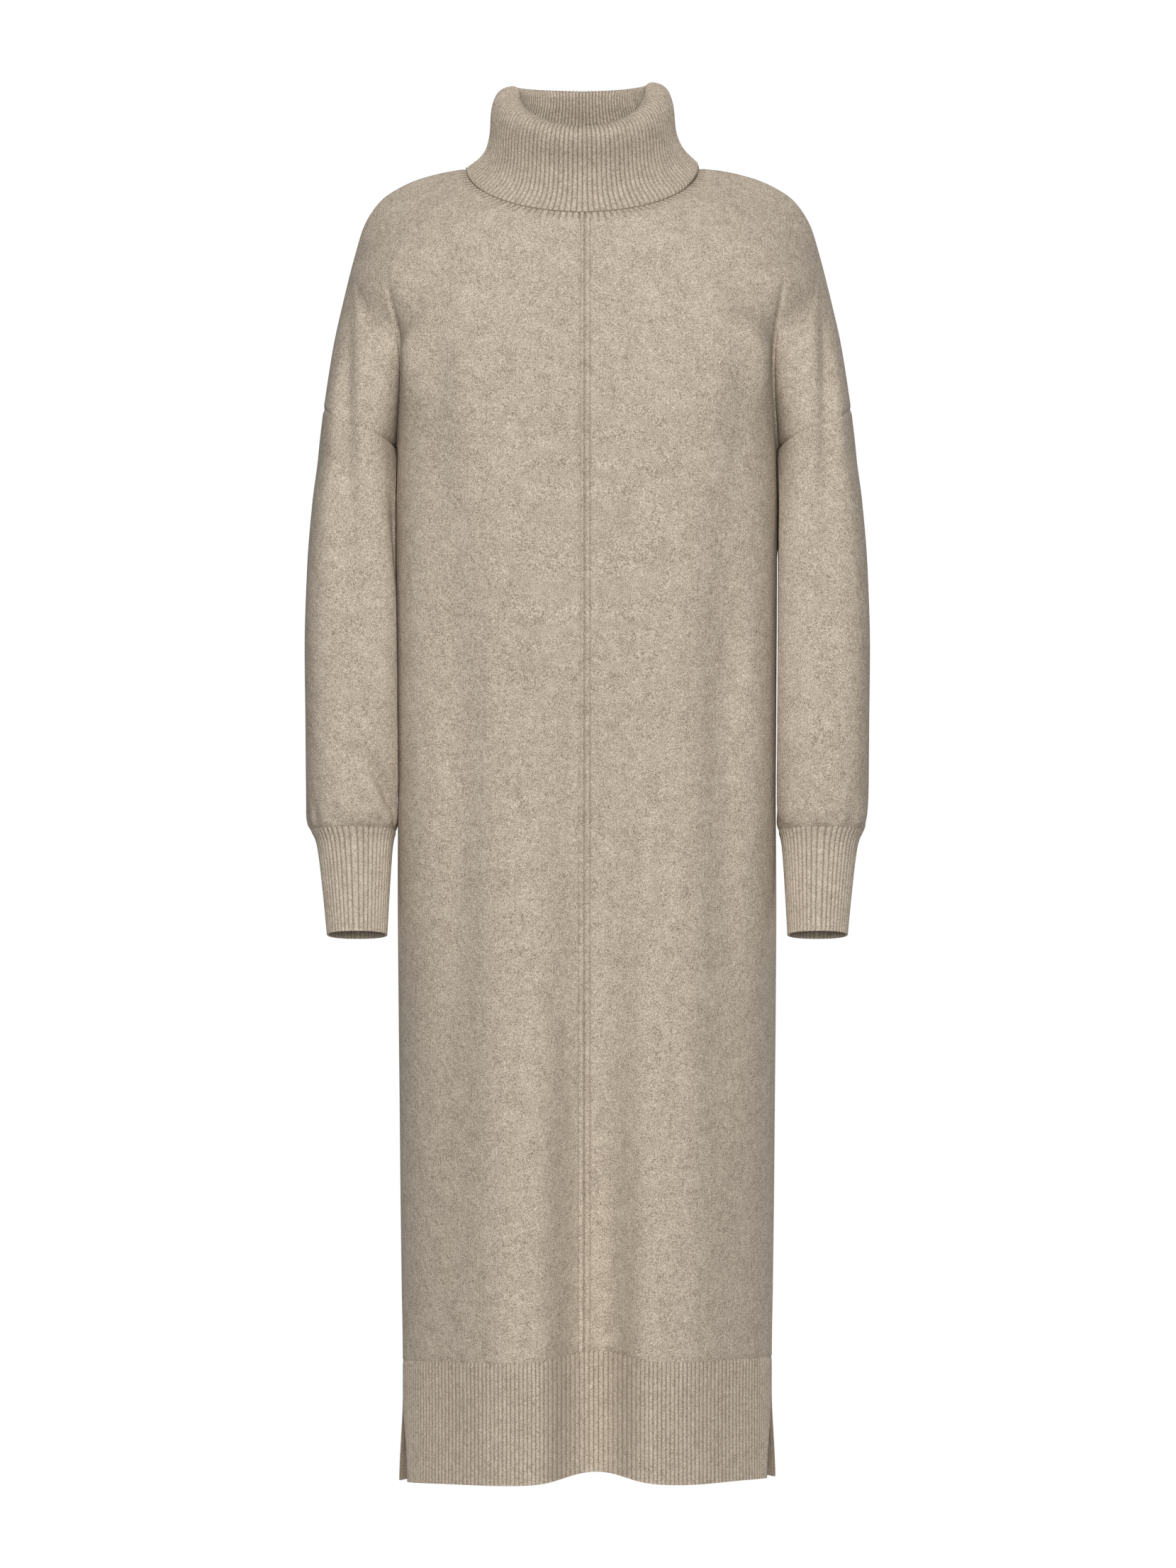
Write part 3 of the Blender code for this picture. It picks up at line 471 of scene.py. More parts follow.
def yoke(face, columns, steps):
    """Chest, back and shoulders: share 0 is the centre and share 1 the shoulder seam."""
    side, share = np.sign(columns)[None], np.abs(columns)[None]
    start, end = neck(face, columns), underarm(face, columns)
    out_centre, down_centre, shoulder_x, shoulder_z = flow(YOKE, steps)[..., None]
    neck_x = NECK_HALF_WIDTH + side * CENTRE_X
    begun = smooth(steps[:, None] / SHOULDER_STARTS)
    out_side = np.maximum(0, shoulder_x - neck_x) / (YOKE[-1].shoulder_x - neck_x) * begun
    down_side = shoulder_z / YOKE[-1].shoulder_z
    sideways = smooth(share)
    out = out_centre + (out_side - out_centre) * sideways
    down = down_centre + (down_side - down_centre) * sideways
    z = start[:, 2] + (end[:, 2] - start[:, 2]) * down
    left = np.clip((z - end[:, 2]) / (CREASE_TOP - end[:, 2]), 0, 1)
    low_x, low_y = merged(face, columns, 0.0)
    end_x, end_y = merged(face, columns, left)
    near = np.exp(-((share - TORSO_SHARE) / CREASE_SPREAD) ** 2)
    power = CREASE_POWER + (UNDERARM_POWER - CREASE_POWER) * near
    on_body = share < TORSO_SHARE - SAME
    closing = np.where(on_body, BODY_CLOSING, ARM_CLOSING)
    starting = smooth((1 - left) / CREASE_STARTS)
    crease, closed = (1 - left ** power) * starting, (1 - left ** closing) * starting
    edge_x, edge_y = body_edge(face, columns)
    crisp = np.where(on_body, smooth(left / CREASE_STARTS), 0)
    end_of_x = end[:, 0] + (edge_x - end[:, 0]) * crisp
    end_of_y = end[:, 1] + (edge_y - end[:, 1]) * crisp
    x = start[:, 0] + (end_x - start[:, 0]) * out + (end_of_x - low_x) * closed
    y = start[:, 1] + (end_y - start[:, 1]) * out + (end_of_y - low_y) * crease
    y = y + face * np.where(on_body, body_fold(face, x, z) * side_fade(share / TORSO_SHARE), 0)
    arm_share = np.clip((share - TORSO_SHARE) / (1 - TORSO_SHARE), 0, 1)
    for arm_side in (RIGHT, LEFT):
        raised = arm_fold(arm_side, face, arm_share, z) * (1 - crease)
        y = y + face * np.where(~on_body & (side == arm_side), raised, 0)
    if face == FRONT:
        y = y - outer_fold(x, z)
    return np.stack((x, y, z), axis=-1)


def collar_surface(columns, steps):
    """Closed rows round the neck. Columns run from 0 to 4, a quarter ring each."""
    angle = math.pi / 2 * columns
    sine, cosine = np.sin(angle), np.cos(angle)
    rise, half_width, half_depth = flow(COLLAR, steps)[..., None]
    front = cosine > 0
    base = -np.where(front, FRONT_NECK_DROP, BACK_NECK_DROP) * np.abs(cosine)
    middle_crest = np.where(front, CREST_FRONT, CREST_BACK)
    side_crest = CREST_RIGHT + (CREST_LEFT - CREST_RIGHT) * smooth((sine + 1) / 2)
    crest = side_crest + (middle_crest - side_crest) * np.abs(cosine)
    flare = LEFT_FLARE * rise / FLARE_RISE * np.exp(1 - rise / FLARE_RISE)
    return np.stack((
        CENTRE_X + (half_width + flare * np.maximum(sine, 0)) * sine,
        NECK_Y - NECK_LEAN * rise - half_depth * cosine,
        base + (crest - base) * rise), axis=-1)


# ---------------------------------------------------------------- relief

def facing(points, closed):
    """Outward direction at every point of a grid whose rows run upwards."""
    if closed:
        wide = np.concatenate((points[:, -2:-1], points, points[:, 1:2]), axis=1)
        across = np.gradient(wide, axis=1)[:, 1:-1]
    else:
        across = np.gradient(points, axis=1)
    normal = np.cross(across, np.gradient(points, axis=0))
    return normal / np.maximum(np.linalg.norm(normal, axis=-1, keepdims=True), 1e-9)


def ribs(phase):
    """Rounded ribs with narrow grooves, 0 in the groove and 1 on the crest."""
    return 1 - np.abs(2 * (phase % 1) - 1) ** 4


def edge_share(height, edge):
    """Share of the ribs' relief that is left near a free edge."""
    return 1 - EDGE_LOSS * np.exp(-((height - edge) / EDGE_REACH) ** 2)


def dip(distance):
    """How far a seam at that distance draws the cloth in."""
    return -SEAM_DIP * np.exp(-(distance / SEAM_REACH) ** 2)


# ---------------------------------------------------------------- meshes

def deselect():
    for thing in bpy.context.selected_objects:
        thing.select_set(False)


def grid(name, points, uv, **maps):
    """A grid of points as a mesh, its faces outwards.

    UVMap is in metres, or counts ribs across a rib knit. The map neck holds the collar's ribs
    and the distance from the neck seam, and the map seam the distances from the nearest linked
    seam and from the shoulder seam.
    """
    rows, columns = points.shape[:2]
    deselect()
    bpy.ops.mesh.primitive_grid_add(
        x_subdivisions=columns - 1, y_subdivisions=rows - 1, size=2)
    piece = bpy.context.object
    piece.name = name
    mesh = piece.data
    mesh.name = name
    mesh.vertices.foreach_set("co", points.reshape(-1))
    corner = np.empty(len(mesh.loops), dtype=np.int32)
    mesh.loops.foreach_get("vertex_index", corner)
    whole = np.zeros((rows, columns))
    for layer in ("UVMap", "neck", "seam"):
        values = uv
        if layer != "UVMap":
            values = np.stack([whole + part for part in maps.get(layer, (FAR, FAR))], axis=-1)
        map_layer = mesh.uv_layers.get(layer) or mesh.uv_layers.new(name=layer)
        map_layer.data.foreach_set("uv", values.reshape(-1, 2)[corner].reshape(-1))
    mesh.update()
    return piece


def sew(pieces):
    """Joins grids into one sheet and merges the points that they share."""
    deselect()
    for piece in pieces:
        piece.select_set(True)
    bpy.context.view_layer.objects.active = pieces[0]
    if len(pieces) > 1:
        bpy.ops.object.join()
    bpy.ops.object.mode_set(mode="EDIT")
    bpy.ops.mesh.select_all(action="SELECT")
    bpy.ops.mesh.remove_doubles(threshold=MERGE)
    bpy.ops.object.mode_set(mode="OBJECT")
    return pieces[0]


def thicken(piece, thickness):
    """Gives a sheet its thickness on the inside, and smooth faces."""
    deselect()
    piece.select_set(True)
    bpy.context.view_layer.objects.active = piece
    wall = piece.modifiers.new("thickness", "SOLIDIFY")
    wall.thickness = thickness
    wall.offset = -1
    bpy.ops.object.modifier_apply(modifier=wall.name)
    bpy.ops.object.shade_smooth_by_angle(angle=SMOOTH_ANGLE)
    return piece


def body_uv(points):
    """Wales run straight up the panel, and courses follow it over the shoulder."""
    x, y, z = points[..., 0], points[..., 1], points[..., 2]
    reach = np.abs(x)
    low = smooth((TURN_CHANGES - z) / (TURN_CHANGES - TURN_CHANGED))
    u = reach
    for turn, weight in ((ARM_TURN, 1 - low), (BODY_TURN, low)):
        start = turn.outer - turn.radius
        turned = start + turn.radius * np.arcsin(np.clip((reach - start) / turn.radius, 0, 1))
        u = u + np.where(reach > start, turned - reach, 0) * weight
    v = z - np.abs(y) * smooth(1 - z / COURSES_LEVEL)
    return np.stack((np.sign(x) * u, v), axis=-1)


def spread(stretches):
    """Places of rows or columns: each stretch has its start, its end and its cells."""
    marks = [stretches[0][0]]
    for start, end, cells in stretches:
        marks += list(np.linspace(start, end, cells + 1)[1:])
    return np.array(marks)


# ---------------------------------------------------------------- the pieces

HALF_BODY = spread((
    (0, 0.018, 14), (0.018, 0.54, 52), (0.54, TORSO_SHARE, 12)))
HALF_ARM = spread(((TORSO_SHARE, 0.66, 12), (0.66, 0.98, 52), (0.98, 1.0, 3)))[1:]
HALF_PANEL = np.concatenate((HALF_BODY, HALF_ARM))
YOKE_STEPS = spread(((12, 11, 7), (11, 6, 33), (6, 0.35, 39), (0.35, 0, 5)))
COLLAR_STEPS = spread(((0, 0.4, 3), (0.4, 17, 43)))
SEAM_ROWS, EDGE_ROWS = 0.006, 0.003     # height of the finer rows at a seam and at an edge
SKIRT_ROWS = spread((
    (BAND_TOP, BAND_TOP + SEAM_ROWS, 4), (BAND_TOP + SEAM_ROWS, UNDERARM, 154)))
HEM_ROWS = spread(((HEM, HEM + EDGE_ROWS, 3), (HEM + EDGE_ROWS, BAND_TOP, 26)))
CUFF_ROWS = spread((
    (CUFF_END, CUFF_END + EDGE_ROWS, 3), (CUFF_END + EDGE_ROWS, CUFF_TOP, 29)))
SLEEVE_ROWS = spread(((0, 0.012, 3), (0.012, 0.985, 117), (0.985, 1, 4)))[::-1]
SLEEVE_COLUMNS = 144
THREAD_STEPS, THREAD_SIDES = 240, 6


def mirrored(half, face):
    columns = np.concatenate((-half[:0:-1], half))
    return columns if face == FRONT else columns[::-1]


def centre_line(columns_x):
    """A narrow strip with a groove each side, down the centre front."""
    x = columns_x - CENTRE_X
    strip = STRIP_RAISE * np.exp(-((x - STRIP_X) / STRIP_WIDTH) ** 2)
    grooves = sum(np.exp(-((x - at) / LINE_WIDTH) ** 2) for at in LINE_X)
    return strip - LINE_DIP * grooves


def crease_groove(columns, points):
    """The crisp bottom of the crease between body and arm, above the underarm."""
    groove = 0.0
    for side in (RIGHT, LEFT):
        crease = points[:, np.argmin(np.abs(columns - side * TORSO_SHARE)), :1]
        across = (points[..., 0] - crease) / GROOVE_REACH
        height = points[..., 2]
        groove = groove - GROOVE_DIP * np.exp(-across ** 2) * ramp(
            height, GROOVE_TOP, GROOVE_FULL, GROOVE_LOW)
    return groove


def make_panel(face, name):
    columns = mirrored(HALF_PANEL, face)
    on_body = np.abs(columns) <= TORSO_SHARE + SAME
    top = yoke(face, columns, YOKE_STEPS)
    low_columns = columns[on_body] / TORSO_SHARE
    low = torso(face, low_columns, SKIRT_ROWS)
    low[-1] = top[0, on_body]

    from_neck = np.linalg.norm(top - neck(face, columns), axis=-1)
    from_armhole = np.linalg.norm(top - top[0], axis=-1)
    on_arm = np.abs(columns) > TORSO_SHARE
    top_relief = dip(from_neck) + dip(from_armhole) * on_arm
    from_shoulder = (1 - np.abs(columns)) * SHOULDER_REACH
    top_relief = top_relief + dip(from_shoulder[None]) * SHOULDER_DIP
    top_relief = top_relief + crease_groove(columns, top)
    from_band = SKIRT_ROWS - BAND_TOP
    low_relief = dip(from_band)[:, None] * np.ones(len(low_columns)) * BAND_DIP
    if face == FRONT:
        top_relief = top_relief + centre_line(top[..., 0])
        low_relief = low_relief + centre_line(low[..., 0])

    top_points = top + facing(top, False) * top_relief[..., None]
    low_points = low + facing(low, False) * low_relief[..., None]
    low_points[-1] = top_points[0, on_body]
    side_seam = np.abs(low_columns) > 1 - SAME
    low_points[:, side_seam] = low[:, side_seam]

    phase = np.abs(columns) * COLLAR_RIBS / 4 + 0.5
    from_seam = np.where(on_arm, from_armhole, FAR)
    upper = grid(name, top_points, body_uv(top), neck=(phase[None], from_neck),
                 seam=(from_seam, from_shoulder[None]))
    lower = grid(name + "_skirt", low_points, body_uv(low),
                 seam=((from_band / BAND_DIP)[:, None], FAR))
    return thicken(sew([upper, lower]), KNIT)


def make_sleeve(side, name):
    around = np.linspace(0, 2, SLEEVE_COLUMNS + 1)
    if side == RIGHT:
        around = around[::-1]
    share = np.where(around <= 1, around, 2 - around)
    start = armhole_height(share)
    height = start + (CUFF_TOP - start) * SLEEVE_ROWS[:, None]
    share = np.broadcast_to(share, height.shape)
    front, back = (arm(ARM, side, face, share, height) for face in (FRONT, BACK))
    front[..., 1] -= outer_fold(front[..., 0], front[..., 2])
    points = np.where((around <= 1)[None, :, None], front, back)
    above = height - CUFF_TOP
    relief = dip(above) + dip(start - height)
    gather = np.exp(-(above / GATHER_REACH) ** 2) * smooth(above / GATHER_STARTS)
    sway = GATHER_SWAY * np.sin(share * SWAY_TURNS + side)
    relief = relief + GATHER * gather * np.sin(share * GATHER_TURNS + sway)
    moved = points + facing(points, True) * relief[..., None]
    length = np.linalg.norm(np.diff(points, axis=1), axis=-1)
    u = np.concatenate((np.zeros((len(height), 1)), np.cumsum(length, axis=1)), axis=1)
    u = u / u[:, -1:] * u[:, -1].mean()
    from_seam = np.minimum(start - height, above)
    piece = grid(name, moved, np.stack((u, height), axis=-1), seam=(from_seam, FAR))
    return thicken(sew([piece]), KNIT)


def make_cuff(side, name):
    around = np.linspace(0, 2, CUFF_RIBS * RIB_COLUMNS + 1)
    if side == RIGHT:
        around = around[::-1]
    share = np.where(around <= 1, around, 2 - around)
    height, share = np.broadcast_arrays(CUFF_ROWS[:, None], share)
    front, back = (arm(CUFF, side, face, share, height) for face in (FRONT, BACK))
    points = np.where((around <= 1)[None, :, None], front, back)
    phase = around / 2 * CUFF_RIBS
    relief = (ribs(phase)[None] - 1) * RIB_RAISE * edge_share(height, CUFF_END)
    relief = relief + dip(CUFF_TOP - height)
    moved = points + facing(points, True) * relief[..., None]
    uv = np.stack(np.broadcast_arrays(phase[None], height), axis=-1)
    return thicken(sew([grid(name, moved, uv)]), RIB_KNIT)


def make_hem(face, name):
    columns = np.linspace(-1, 1, HEM_RIBS * RIB_COLUMNS + 1)
    if face == BACK:
        columns = columns[::-1]
    points = torso(face, columns, HEM_ROWS)
    share, side = np.abs(columns), np.sign(columns)
    heights = HEM_ROWS[:, None]
    opened = smooth((SLIT_TOP - heights) / (SLIT_TOP - HEM))
    near_edge = np.maximum(0, (share - 1 + SLIT_SPREAD) / SLIT_SPREAD)[None] ** 2
    inwards, along = ((-FRONT_EDGE_IN, FRONT_EDGE_FORWARD) if face == FRONT
                      else (BACK_EDGE_OUT, BACK_EDGE_BEHIND))
    points[..., 0] += side * inwards * opened * near_edge
    points[..., 1] += face * along * opened * near_edge
    phase = (columns + 1) / 2 * HEM_RIBS
    relief = (ribs(phase)[None] - 1) * HEM_RIB_RAISE * edge_share(heights, HEM)
    relief = relief + dip(BAND_TOP - heights) * BAND_DIP
    moved = points + facing(points, False) * relief[..., None]
    uv = np.stack(np.broadcast_arrays(phase[None], heights), axis=-1)
    return thicken(sew([grid(name, moved, uv)]), RIB_KNIT)


def make_collar(name):
    columns = np.linspace(0, 4, COLLAR_RIBS * RIB_COLUMNS + 1)
    points = collar_surface(columns, COLLAR_STEPS)
    length = np.linalg.norm(np.diff(points, axis=0), axis=-1)
    v = np.concatenate((np.zeros((1, len(columns))), np.cumsum(length, axis=0)))
    phase = columns / 4 * COLLAR_RIBS
    relief = (ribs(phase)[None] - 1) * RIB_RAISE + dip(v)
    moved = points + facing(points, True) * relief[..., None]
    uv = np.stack(np.broadcast_arrays(phase[None], v), axis=-1)
    return thicken(sew([grid(name, moved, uv)]), RIB_KNIT)


def make_thread(name):
    """The linking stitch round the neck, sunk into the seam."""
    turns = np.linspace(0, 4, THREAD_STEPS, endpoint=False)
    signed = np.where(turns <= 1, turns, np.where(turns <= 3, 2 - turns, turns - 4))
    face_front = (turns <= 1) | (turns >= 3)
    path = np.where(face_front[:, None], neck(FRONT, signed), neck(BACK, signed))
    deselect()
    bpy.ops.mesh.primitive_torus_add(
        major_segments=THREAD_STEPS, minor_segments=THREAD_SIDES,
        major_radius=1, minor_radius=0.1)
    thread = bpy.context.object
    thread.name = name
    thread.data.name = name
    centre = path.mean(axis=0)
    outwards = (path - centre) * (1, 1, 0)
    outwards /= np.linalg.norm(outwards, axis=-1, keepdims=True)
    lift = np.array([0, 0, 1.0])
    points = []
    for spot, out in zip(path - outwards * THREAD, outwards):
        for corner in range(THREAD_SIDES):
            angle = math.tau * corner / THREAD_SIDES
            points.append(spot + THREAD * (out * math.cos(angle) + lift * math.sin(angle)))
    thread.data.vertices.foreach_set("co", np.array(points).reshape(-1))
    thread.data.update()
    bpy.ops.object.shade_smooth_by_angle(angle=THREAD_ANGLE)
    return thread


# ---------------------------------------------------------------- finishes

class Value:
    """A shader socket that takes Python arithmetic."""

    def __init__(self, finish, socket):
        self.finish, self.socket = finish, socket

    def maths(self, operation, *inputs):
        return self.finish.node("ShaderNodeMath", {"operation": operation},
                                dict(enumerate(inputs)))

    def __add__(self, other):
        return self.maths("ADD", self, other)

    def __radd__(self, other):
        return self.maths("ADD", other, self)

    def __sub__(self, other):
        return self.maths("SUBTRACT", self, other)

    def __rsub__(self, other):
        return self.maths("SUBTRACT", other, self)

    def __mul__(self, other):
        return self.maths("MULTIPLY", self, other)

    def __rmul__(self, other):
        return self.maths("MULTIPLY", other, self)

    def __pow__(self, other):
        return self.maths("POWER", self, other)

    def __abs__(self):
        return self.maths("ABSOLUTE", self)


class Finish:
    """A material and its nodes."""

    def __init__(self, name):
        self.material = bpy.data.materials.new(name)
        self.material.use_nodes = True
        self.tree = self.material.node_tree
        self.shader = self.tree.nodes["Principled BSDF"]

    def node(self, kind, settings=None, inputs=None, output=0):
        """Adds a node, its settings first, and gives one of its outputs."""
        node = self.tree.nodes.new(kind)
        for key, value in (settings or {}).items():
            setattr(node, key, value)
        for key, value in (inputs or {}).items():
            self.feed(node.inputs[key], value)
        return Value(self, node.outputs[output])

    def feed(self, socket, value):
        if isinstance(value, Value):
            self.tree.links.new(value.socket, socket)
        else:
            socket.default_value = value

    def noise(self, vector, scale, detail=2.0):
        return self.node("ShaderNodeTexNoise", inputs={
            "Vector": vector, "Scale": scale, "Detail": detail, "Roughness": 0.5})

    def mix(self, share, a, b):
        return self.node("ShaderNodeMix", {"data_type": "RGBA"},
                         {0: share, 6: a, 7: b}, output=2)

    def uv(self, name="UVMap"):
        return self.node("ShaderNodeUVMap", {"uv_map": name})

    def split(self, vector):
        separate = self.node("ShaderNodeSeparateXYZ", inputs={0: vector})
        sockets = separate.socket.node.outputs
        return Value(self, sockets[0]), Value(self, sockets[1])

    def sine(self, value):
        return self.node("ShaderNodeMath", {"operation": "SINE"}, {0: value})

    def place(self):
        """Where a point of the object is, in metres."""
        return self.node("ShaderNodeTexCoord", output=3)

    def front(self):
        """1 on the front of the dress, 0 on its back."""
        return self.rise(self.split(self.place())[1], 0.0, -0.02)

    def rise(self, value, low, high):
        """0 at low and 1 at high, with a soft start and end."""
        return self.node("ShaderNodeMapRange", {"interpolation_type": "SMOOTHSTEP"},
                         {"Value": value, "From Min": low, "From Max": high})

    def bump(self, height, distance, strength):
        return self.node("ShaderNodeBump", inputs={
            "Height": height, "Distance": distance, "Strength": strength})

    def cloth(self, colour, roughness, normal, sheen):
        inputs = self.shader.inputs
        self.feed(inputs["Base Color"], colour)
        self.feed(inputs["Roughness"], roughness)
        self.feed(inputs["Normal"], normal)
        inputs["Metallic"].default_value = 0
        inputs["Specular IOR Level"].default_value = SPECULAR
        inputs["Sheen Weight"].default_value = sheen
        inputs["Sheen Roughness"].default_value = SHEEN_ROUGHNESS
        inputs["Sheen Tint"].default_value = SHEEN_TINT
        return self.material


LIGHT_YARN = (0.760, 0.662, 0.540, 1)
DARK_YARN = (0.250, 0.194, 0.142, 1)
# The brown below is painted shade, mixed into the grooves and hollows of the knit
SHADE_BROWN = (0.205, 0.145, 0.100, 1)
THREAD_DARK = (0.200, 0.140, 0.100, 1)
THREAD_LIGHT = (0.340, 0.262, 0.195, 1)

# Size in metres and strength of what is blended in the yarn, from flecks to clouds
Blend = namedtuple("Blend", "size detail strength")
FLECKS = Blend(0.00092, 1.0, 2.20)
TUFTS = Blend(0.0050, 1.5, 0.44)
CLOUDS = Blend(0.0160, 2.0, 0.34)
RIB_BLEND = 0.85        # share of those strengths in the ribs
CREAM = 0.5             # share of the cream fibres

# Lines of painted shade in the grooves of the plain knit: where they end and where they are
# full, and their strength
Line = namedtuple("Line", "ends full strength")
RIB_END_SHADE = Line(0.011, 0.002, 0.95)      # painted shade between the collar's ribs, below the neck seam
SEAM_SHADE = Line(0.0016, 0.0002, 0.16)
CENTRE_GROOVE_SHADE = Line(0.0014, 0.0002, 0.38)
# painted shade in the hollows between the wales
WALE_SHADE = 0.10
WANDER, WANDER_SCALE = 0.0012, 60.0     # how far the wales stray, and their bends a metre

# The cloth's shader, and how much each kind of relief adds to its bump
ROUGHNESS, SPECULAR = 0.96, 0.15
SHEEN, SHEEN_ROUGHNESS, SHEEN_TINT = 0.06, 0.55, (1.0, 0.93, 0.84, 1)
NAP, RIB_NAP, NAP_STRENGTH = 0.0007, 0.0006, 0.6
FLECK_BUMP, TUFT_BUMP, WALE_BUMP, STROKE_BUMP, RIB_BUMP = 0.5, 1.5, 0.25, 1.2, 0.5

TWIST_SCALE, TWIST_DEPTH, TWIST_STRENGTH = 900.0, 0.0003, 0.5
THREAD_ROUGHNESS, THREAD_SHEEN = 0.9, 0.1

# Painted shade in the grooves, and share of cream fibres; the cuff's larger share of cream is
# painted light, a lighter copy of the same yarn
RibFinish = namedtuple("RibFinish", "word shade cream")
RIB_FINISHES = (
    RibFinish("hem", 0.80, 0.50),
    RibFinish("cuff", 0.65, 0.59),
    RibFinish("collar", 0.70, 0.51),
)


def melange(finish, strength=1.0, cream=CREAM):
    """Cream and brown fibres blended in one yarn: a colour and a height."""
    place = finish.place()
    flecks, tufts, clouds = (
        finish.noise(place, 1 / blend.size, blend.detail) for blend in (FLECKS, TUFTS, CLOUDS))
    share = cream
    for blend, tone in ((FLECKS, flecks), (TUFTS, tufts), (CLOUDS, clouds)):
        share = share + (tone - 0.5) * (blend.strength * strength)
    nap = flecks * FLECK_BUMP + tufts * TUFT_BUMP
    return finish.mix(share, DARK_YARN, LIGHT_YARN), nap


def plain_knit():
    finish = Finish("felted_plain_knit")
    knit = finish.uv()
    wander = finish.noise(knit, WANDER_SCALE)
    u = finish.split(knit)[0]
    wales = abs(finish.sine((u + (wander - 0.5) * WANDER) * (math.pi / WALE)))
    colour, nap = melange(finish)
    # painted shade in the hollows between the wales
    colour = finish.mix((1 - wales) ** 2 * WALE_SHADE, colour, SHADE_BROWN)
    rib, from_neck = finish.split(finish.uv("neck"))
    stroke = abs(finish.sine(rib * math.pi))
    reach = finish.rise(from_neck, RIB_END_SHADE.ends, RIB_END_SHADE.full)
    # painted shade in the grooves between the collar's ribs, where they run on below the neck
    # seam
    colour = finish.mix((1 - stroke) ** 2 * reach * RIB_END_SHADE.strength, colour, SHADE_BROWN)
    # painted shade along the seams' grooves and in the two grooves beside the centre-front
    # strip
    from_seam = finish.split(finish.uv("seam"))[0]
    groove_shade = finish.rise(from_seam, SEAM_SHADE.ends, SEAM_SHADE.full) * SEAM_SHADE.strength
    for at in LINE_X:
        near = finish.rise(abs(u - at), CENTRE_GROOVE_SHADE.ends, CENTRE_GROOVE_SHADE.full)
        groove_shade = groove_shade + near * finish.front() * CENTRE_GROOVE_SHADE.strength
    colour = finish.mix(groove_shade, colour, SHADE_BROWN)
    height = wales * WALE_BUMP + nap + stroke * reach * STROKE_BUMP
    normal = finish.bump(height, NAP, NAP_STRENGTH)
    return finish.cloth(colour, ROUGHNESS, normal, SHEEN)


def rib_knit(kind):
    finish = Finish(f"felted_{kind.word}_rib")
    rib = finish.split(finish.uv())[0]
    crest = abs(finish.sine(rib * math.pi))
    colour, nap = melange(finish, RIB_BLEND, kind.cream)
    # painted shade in the grooves between the ribs
    colour = finish.mix((1 - crest) ** 3 * kind.shade, colour, SHADE_BROWN)
    normal = finish.bump(nap + crest * RIB_BUMP, RIB_NAP, NAP_STRENGTH)
    return finish.cloth(colour, ROUGHNESS, normal, SHEEN)


def linking_thread():
    finish = Finish("linking_thread")
    twist = finish.noise(finish.place(), TWIST_SCALE)
    colour = finish.mix(twist, THREAD_DARK, THREAD_LIGHT)
    normal = finish.bump(twist, TWIST_DEPTH, TWIST_STRENGTH)
    return finish.cloth(colour, THREAD_ROUGHNESS, normal, THREAD_SHEEN)


FLOOR_DARK, FLOOR_LIGHT = (0.60, 0.60, 0.60, 1), (0.64, 0.64, 0.64, 1)
FLOOR_SCALE, FLOOR_ROUGHNESS, FLOOR_SPECULAR = 3.0, 0.9, 0.1


def floor_finish():
    finish = Finish("pale_floor")
    cloud = finish.noise(finish.place(), FLOOR_SCALE)
    colour = finish.mix(cloud, FLOOR_DARK, FLOOR_LIGHT)
    finish.feed(finish.shader.inputs["Base Color"], colour)
    finish.shader.inputs["Roughness"].default_value = FLOOR_ROUGHNESS
    finish.shader.inputs["Specular IOR Level"].default_value = FLOOR_SPECULAR
    return finish.material


# ---------------------------------------------------------------- light and camera

CAMERA_Y = -8.0
FRAME_HEIGHT = 1.4062   # metres from the frame's bottom to its top, at the dress's middle plane
CAMERA_X, CAMERA_Z = 0.0006, -0.5524
SENSOR = 36.0
FLOOR_Z, FLOOR_SIZE = -1.50, 3.4

AIM = (0, 0, -0.55)     # where every light points
Light = namedtuple("Light", "name place size power")
LIGHTS = (
    Light("key", (0.0, -8.6, 0.3), (1.4, 1.8), 378),
    Light("top", (0.0, -5.4, 5.6), (2.0, 1.4), 370),
    Light("back_key", (0.0, 7.5, 0.6), (2.0, 2.0), 350),
    Light("rim_left", (3.2, 4.4, -0.7), (0.6, 1.6), 110),
    Light("rim_right", (-3.0, 4.6, -0.2), (1.0, 2.4), 70),
)
AMBIENT = 0.035
WHITE = (1, 1, 1, 1)


def area_light(light):
    deselect()
    bpy.ops.object.light_add(type="AREA", location=light.place)
    lamp = bpy.context.object
    lamp.name = light.name
    lamp.data.shape = "RECTANGLE"
    lamp.data.size, lamp.data.size_y = light.size
    lamp.data.energy = light.power
    direction = np.array(AIM) - np.array(light.place)
    yaw = math.atan2(-direction[0], direction[1])
    pitch = math.atan2(direction[2], math.hypot(direction[0], direction[1]))
    lamp.rotation_euler = (math.pi / 2 + pitch, 0, yaw)


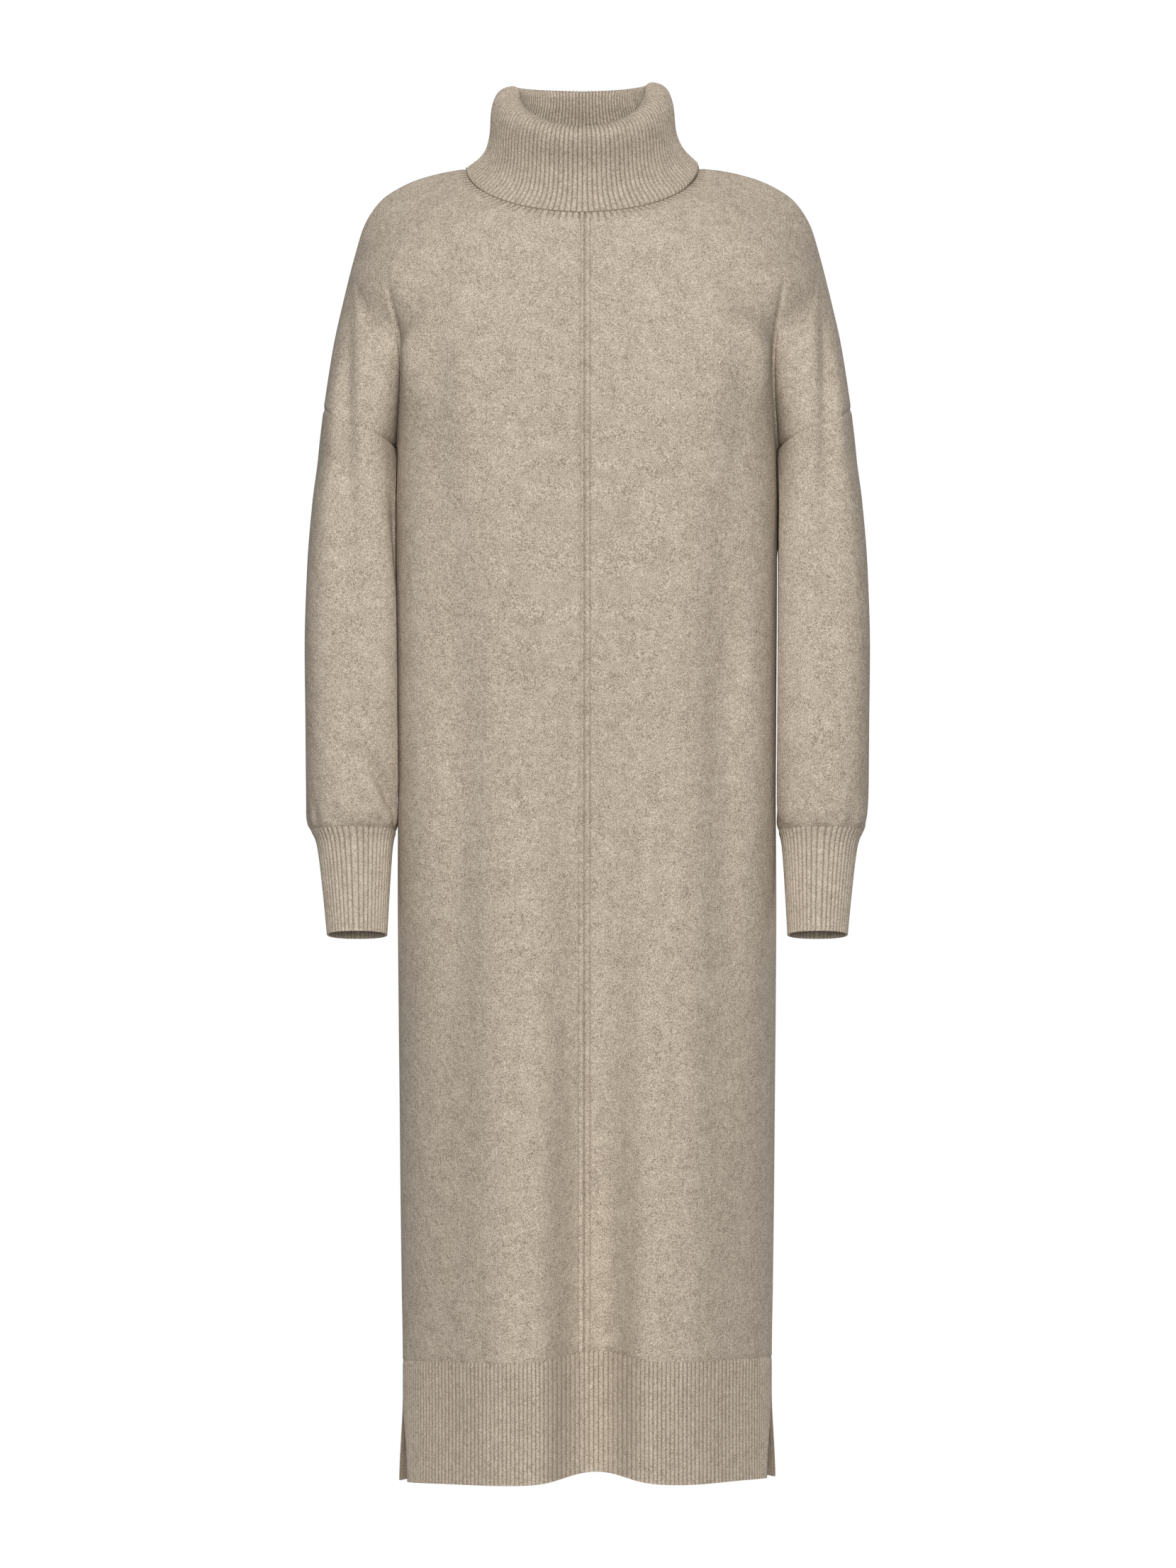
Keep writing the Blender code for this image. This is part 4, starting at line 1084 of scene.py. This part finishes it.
def light_up():
    """The lights, a weak soft light from all round, and a white surround for the camera."""
    for light in LIGHTS:
        area_light(light)
    world = bpy.data.worlds.new("studio")
    bpy.context.scene.world = world
    world.use_nodes = True
    tree = world.node_tree
    soft = tree.nodes["Background"]
    soft.inputs["Color"].default_value = WHITE
    soft.inputs["Strength"].default_value = AMBIENT
    seen = tree.nodes.new("ShaderNodeBackground")
    seen.inputs["Color"].default_value = WHITE
    seen.inputs["Strength"].default_value = 1.0
    path = tree.nodes.new("ShaderNodeLightPath")
    blend = tree.nodes.new("ShaderNodeMixShader")
    tree.links.new(path.outputs["Is Camera Ray"], blend.inputs[0])
    tree.links.new(soft.outputs[0], blend.inputs[1])
    tree.links.new(seen.outputs[0], blend.inputs[2])
    tree.links.new(blend.outputs[0], tree.nodes["World Output"].inputs[0])


def add_camera():
    deselect()
    bpy.ops.object.camera_add(
        location=(CAMERA_X, CAMERA_Y, CAMERA_Z), rotation=(math.pi / 2, 0, 0))
    camera = bpy.context.object
    camera.name = "camera"
    camera.data.sensor_fit = "VERTICAL"
    camera.data.sensor_height = SENSOR
    camera.data.lens = SENSOR * -CAMERA_Y / FRAME_HEIGHT
    camera.data.dof.use_dof = False
    bpy.context.scene.camera = camera
    bpy.context.scene.view_settings.view_transform = "Standard"


def add_floor():
    deselect()
    bpy.ops.mesh.primitive_grid_add(
        x_subdivisions=8, y_subdivisions=8, size=FLOOR_SIZE, location=(0, 0, FLOOR_Z))
    floor = bpy.context.object
    floor.name = "floor"
    floor.data.materials.append(floor_finish())


# ---------------------------------------------------------------- dress

def finish_piece(piece, material, node=None):
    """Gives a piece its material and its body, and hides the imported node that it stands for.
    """
    piece.data.materials.clear()
    piece.data.materials.append(material)
    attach(piece, "root")
    if node:
        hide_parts(node)


plain = plain_knit()
hem_rib, cuff_rib, collar_rib = (rib_knit(kind) for kind in RIB_FINISHES)

for panel_face, word in ((FRONT, "front"), (BACK, "back")):
    panel = make_panel(panel_face, f"{word}_body")
    finish_piece(panel, plain, f"{word}_panel")
    band = make_hem(panel_face, f"{word}_hem")
    finish_piece(band, hem_rib, f"hem_rib_{word}")

for arm_side, word in ((RIGHT, "right"), (LEFT, "left")):
    sleeve = make_sleeve(arm_side, f"{word}_sleeve")
    finish_piece(sleeve, plain, f"sleeve_{word}")
    cuff = make_cuff(arm_side, f"{word}_cuff")
    finish_piece(cuff, cuff_rib, f"cuff_{word}")

collar = make_collar("collar_roll")
finish_piece(collar, collar_rib, "collar")
thread = make_thread("neck_linking")
finish_piece(thread, linking_thread())

add_floor()
light_up()
add_camera()
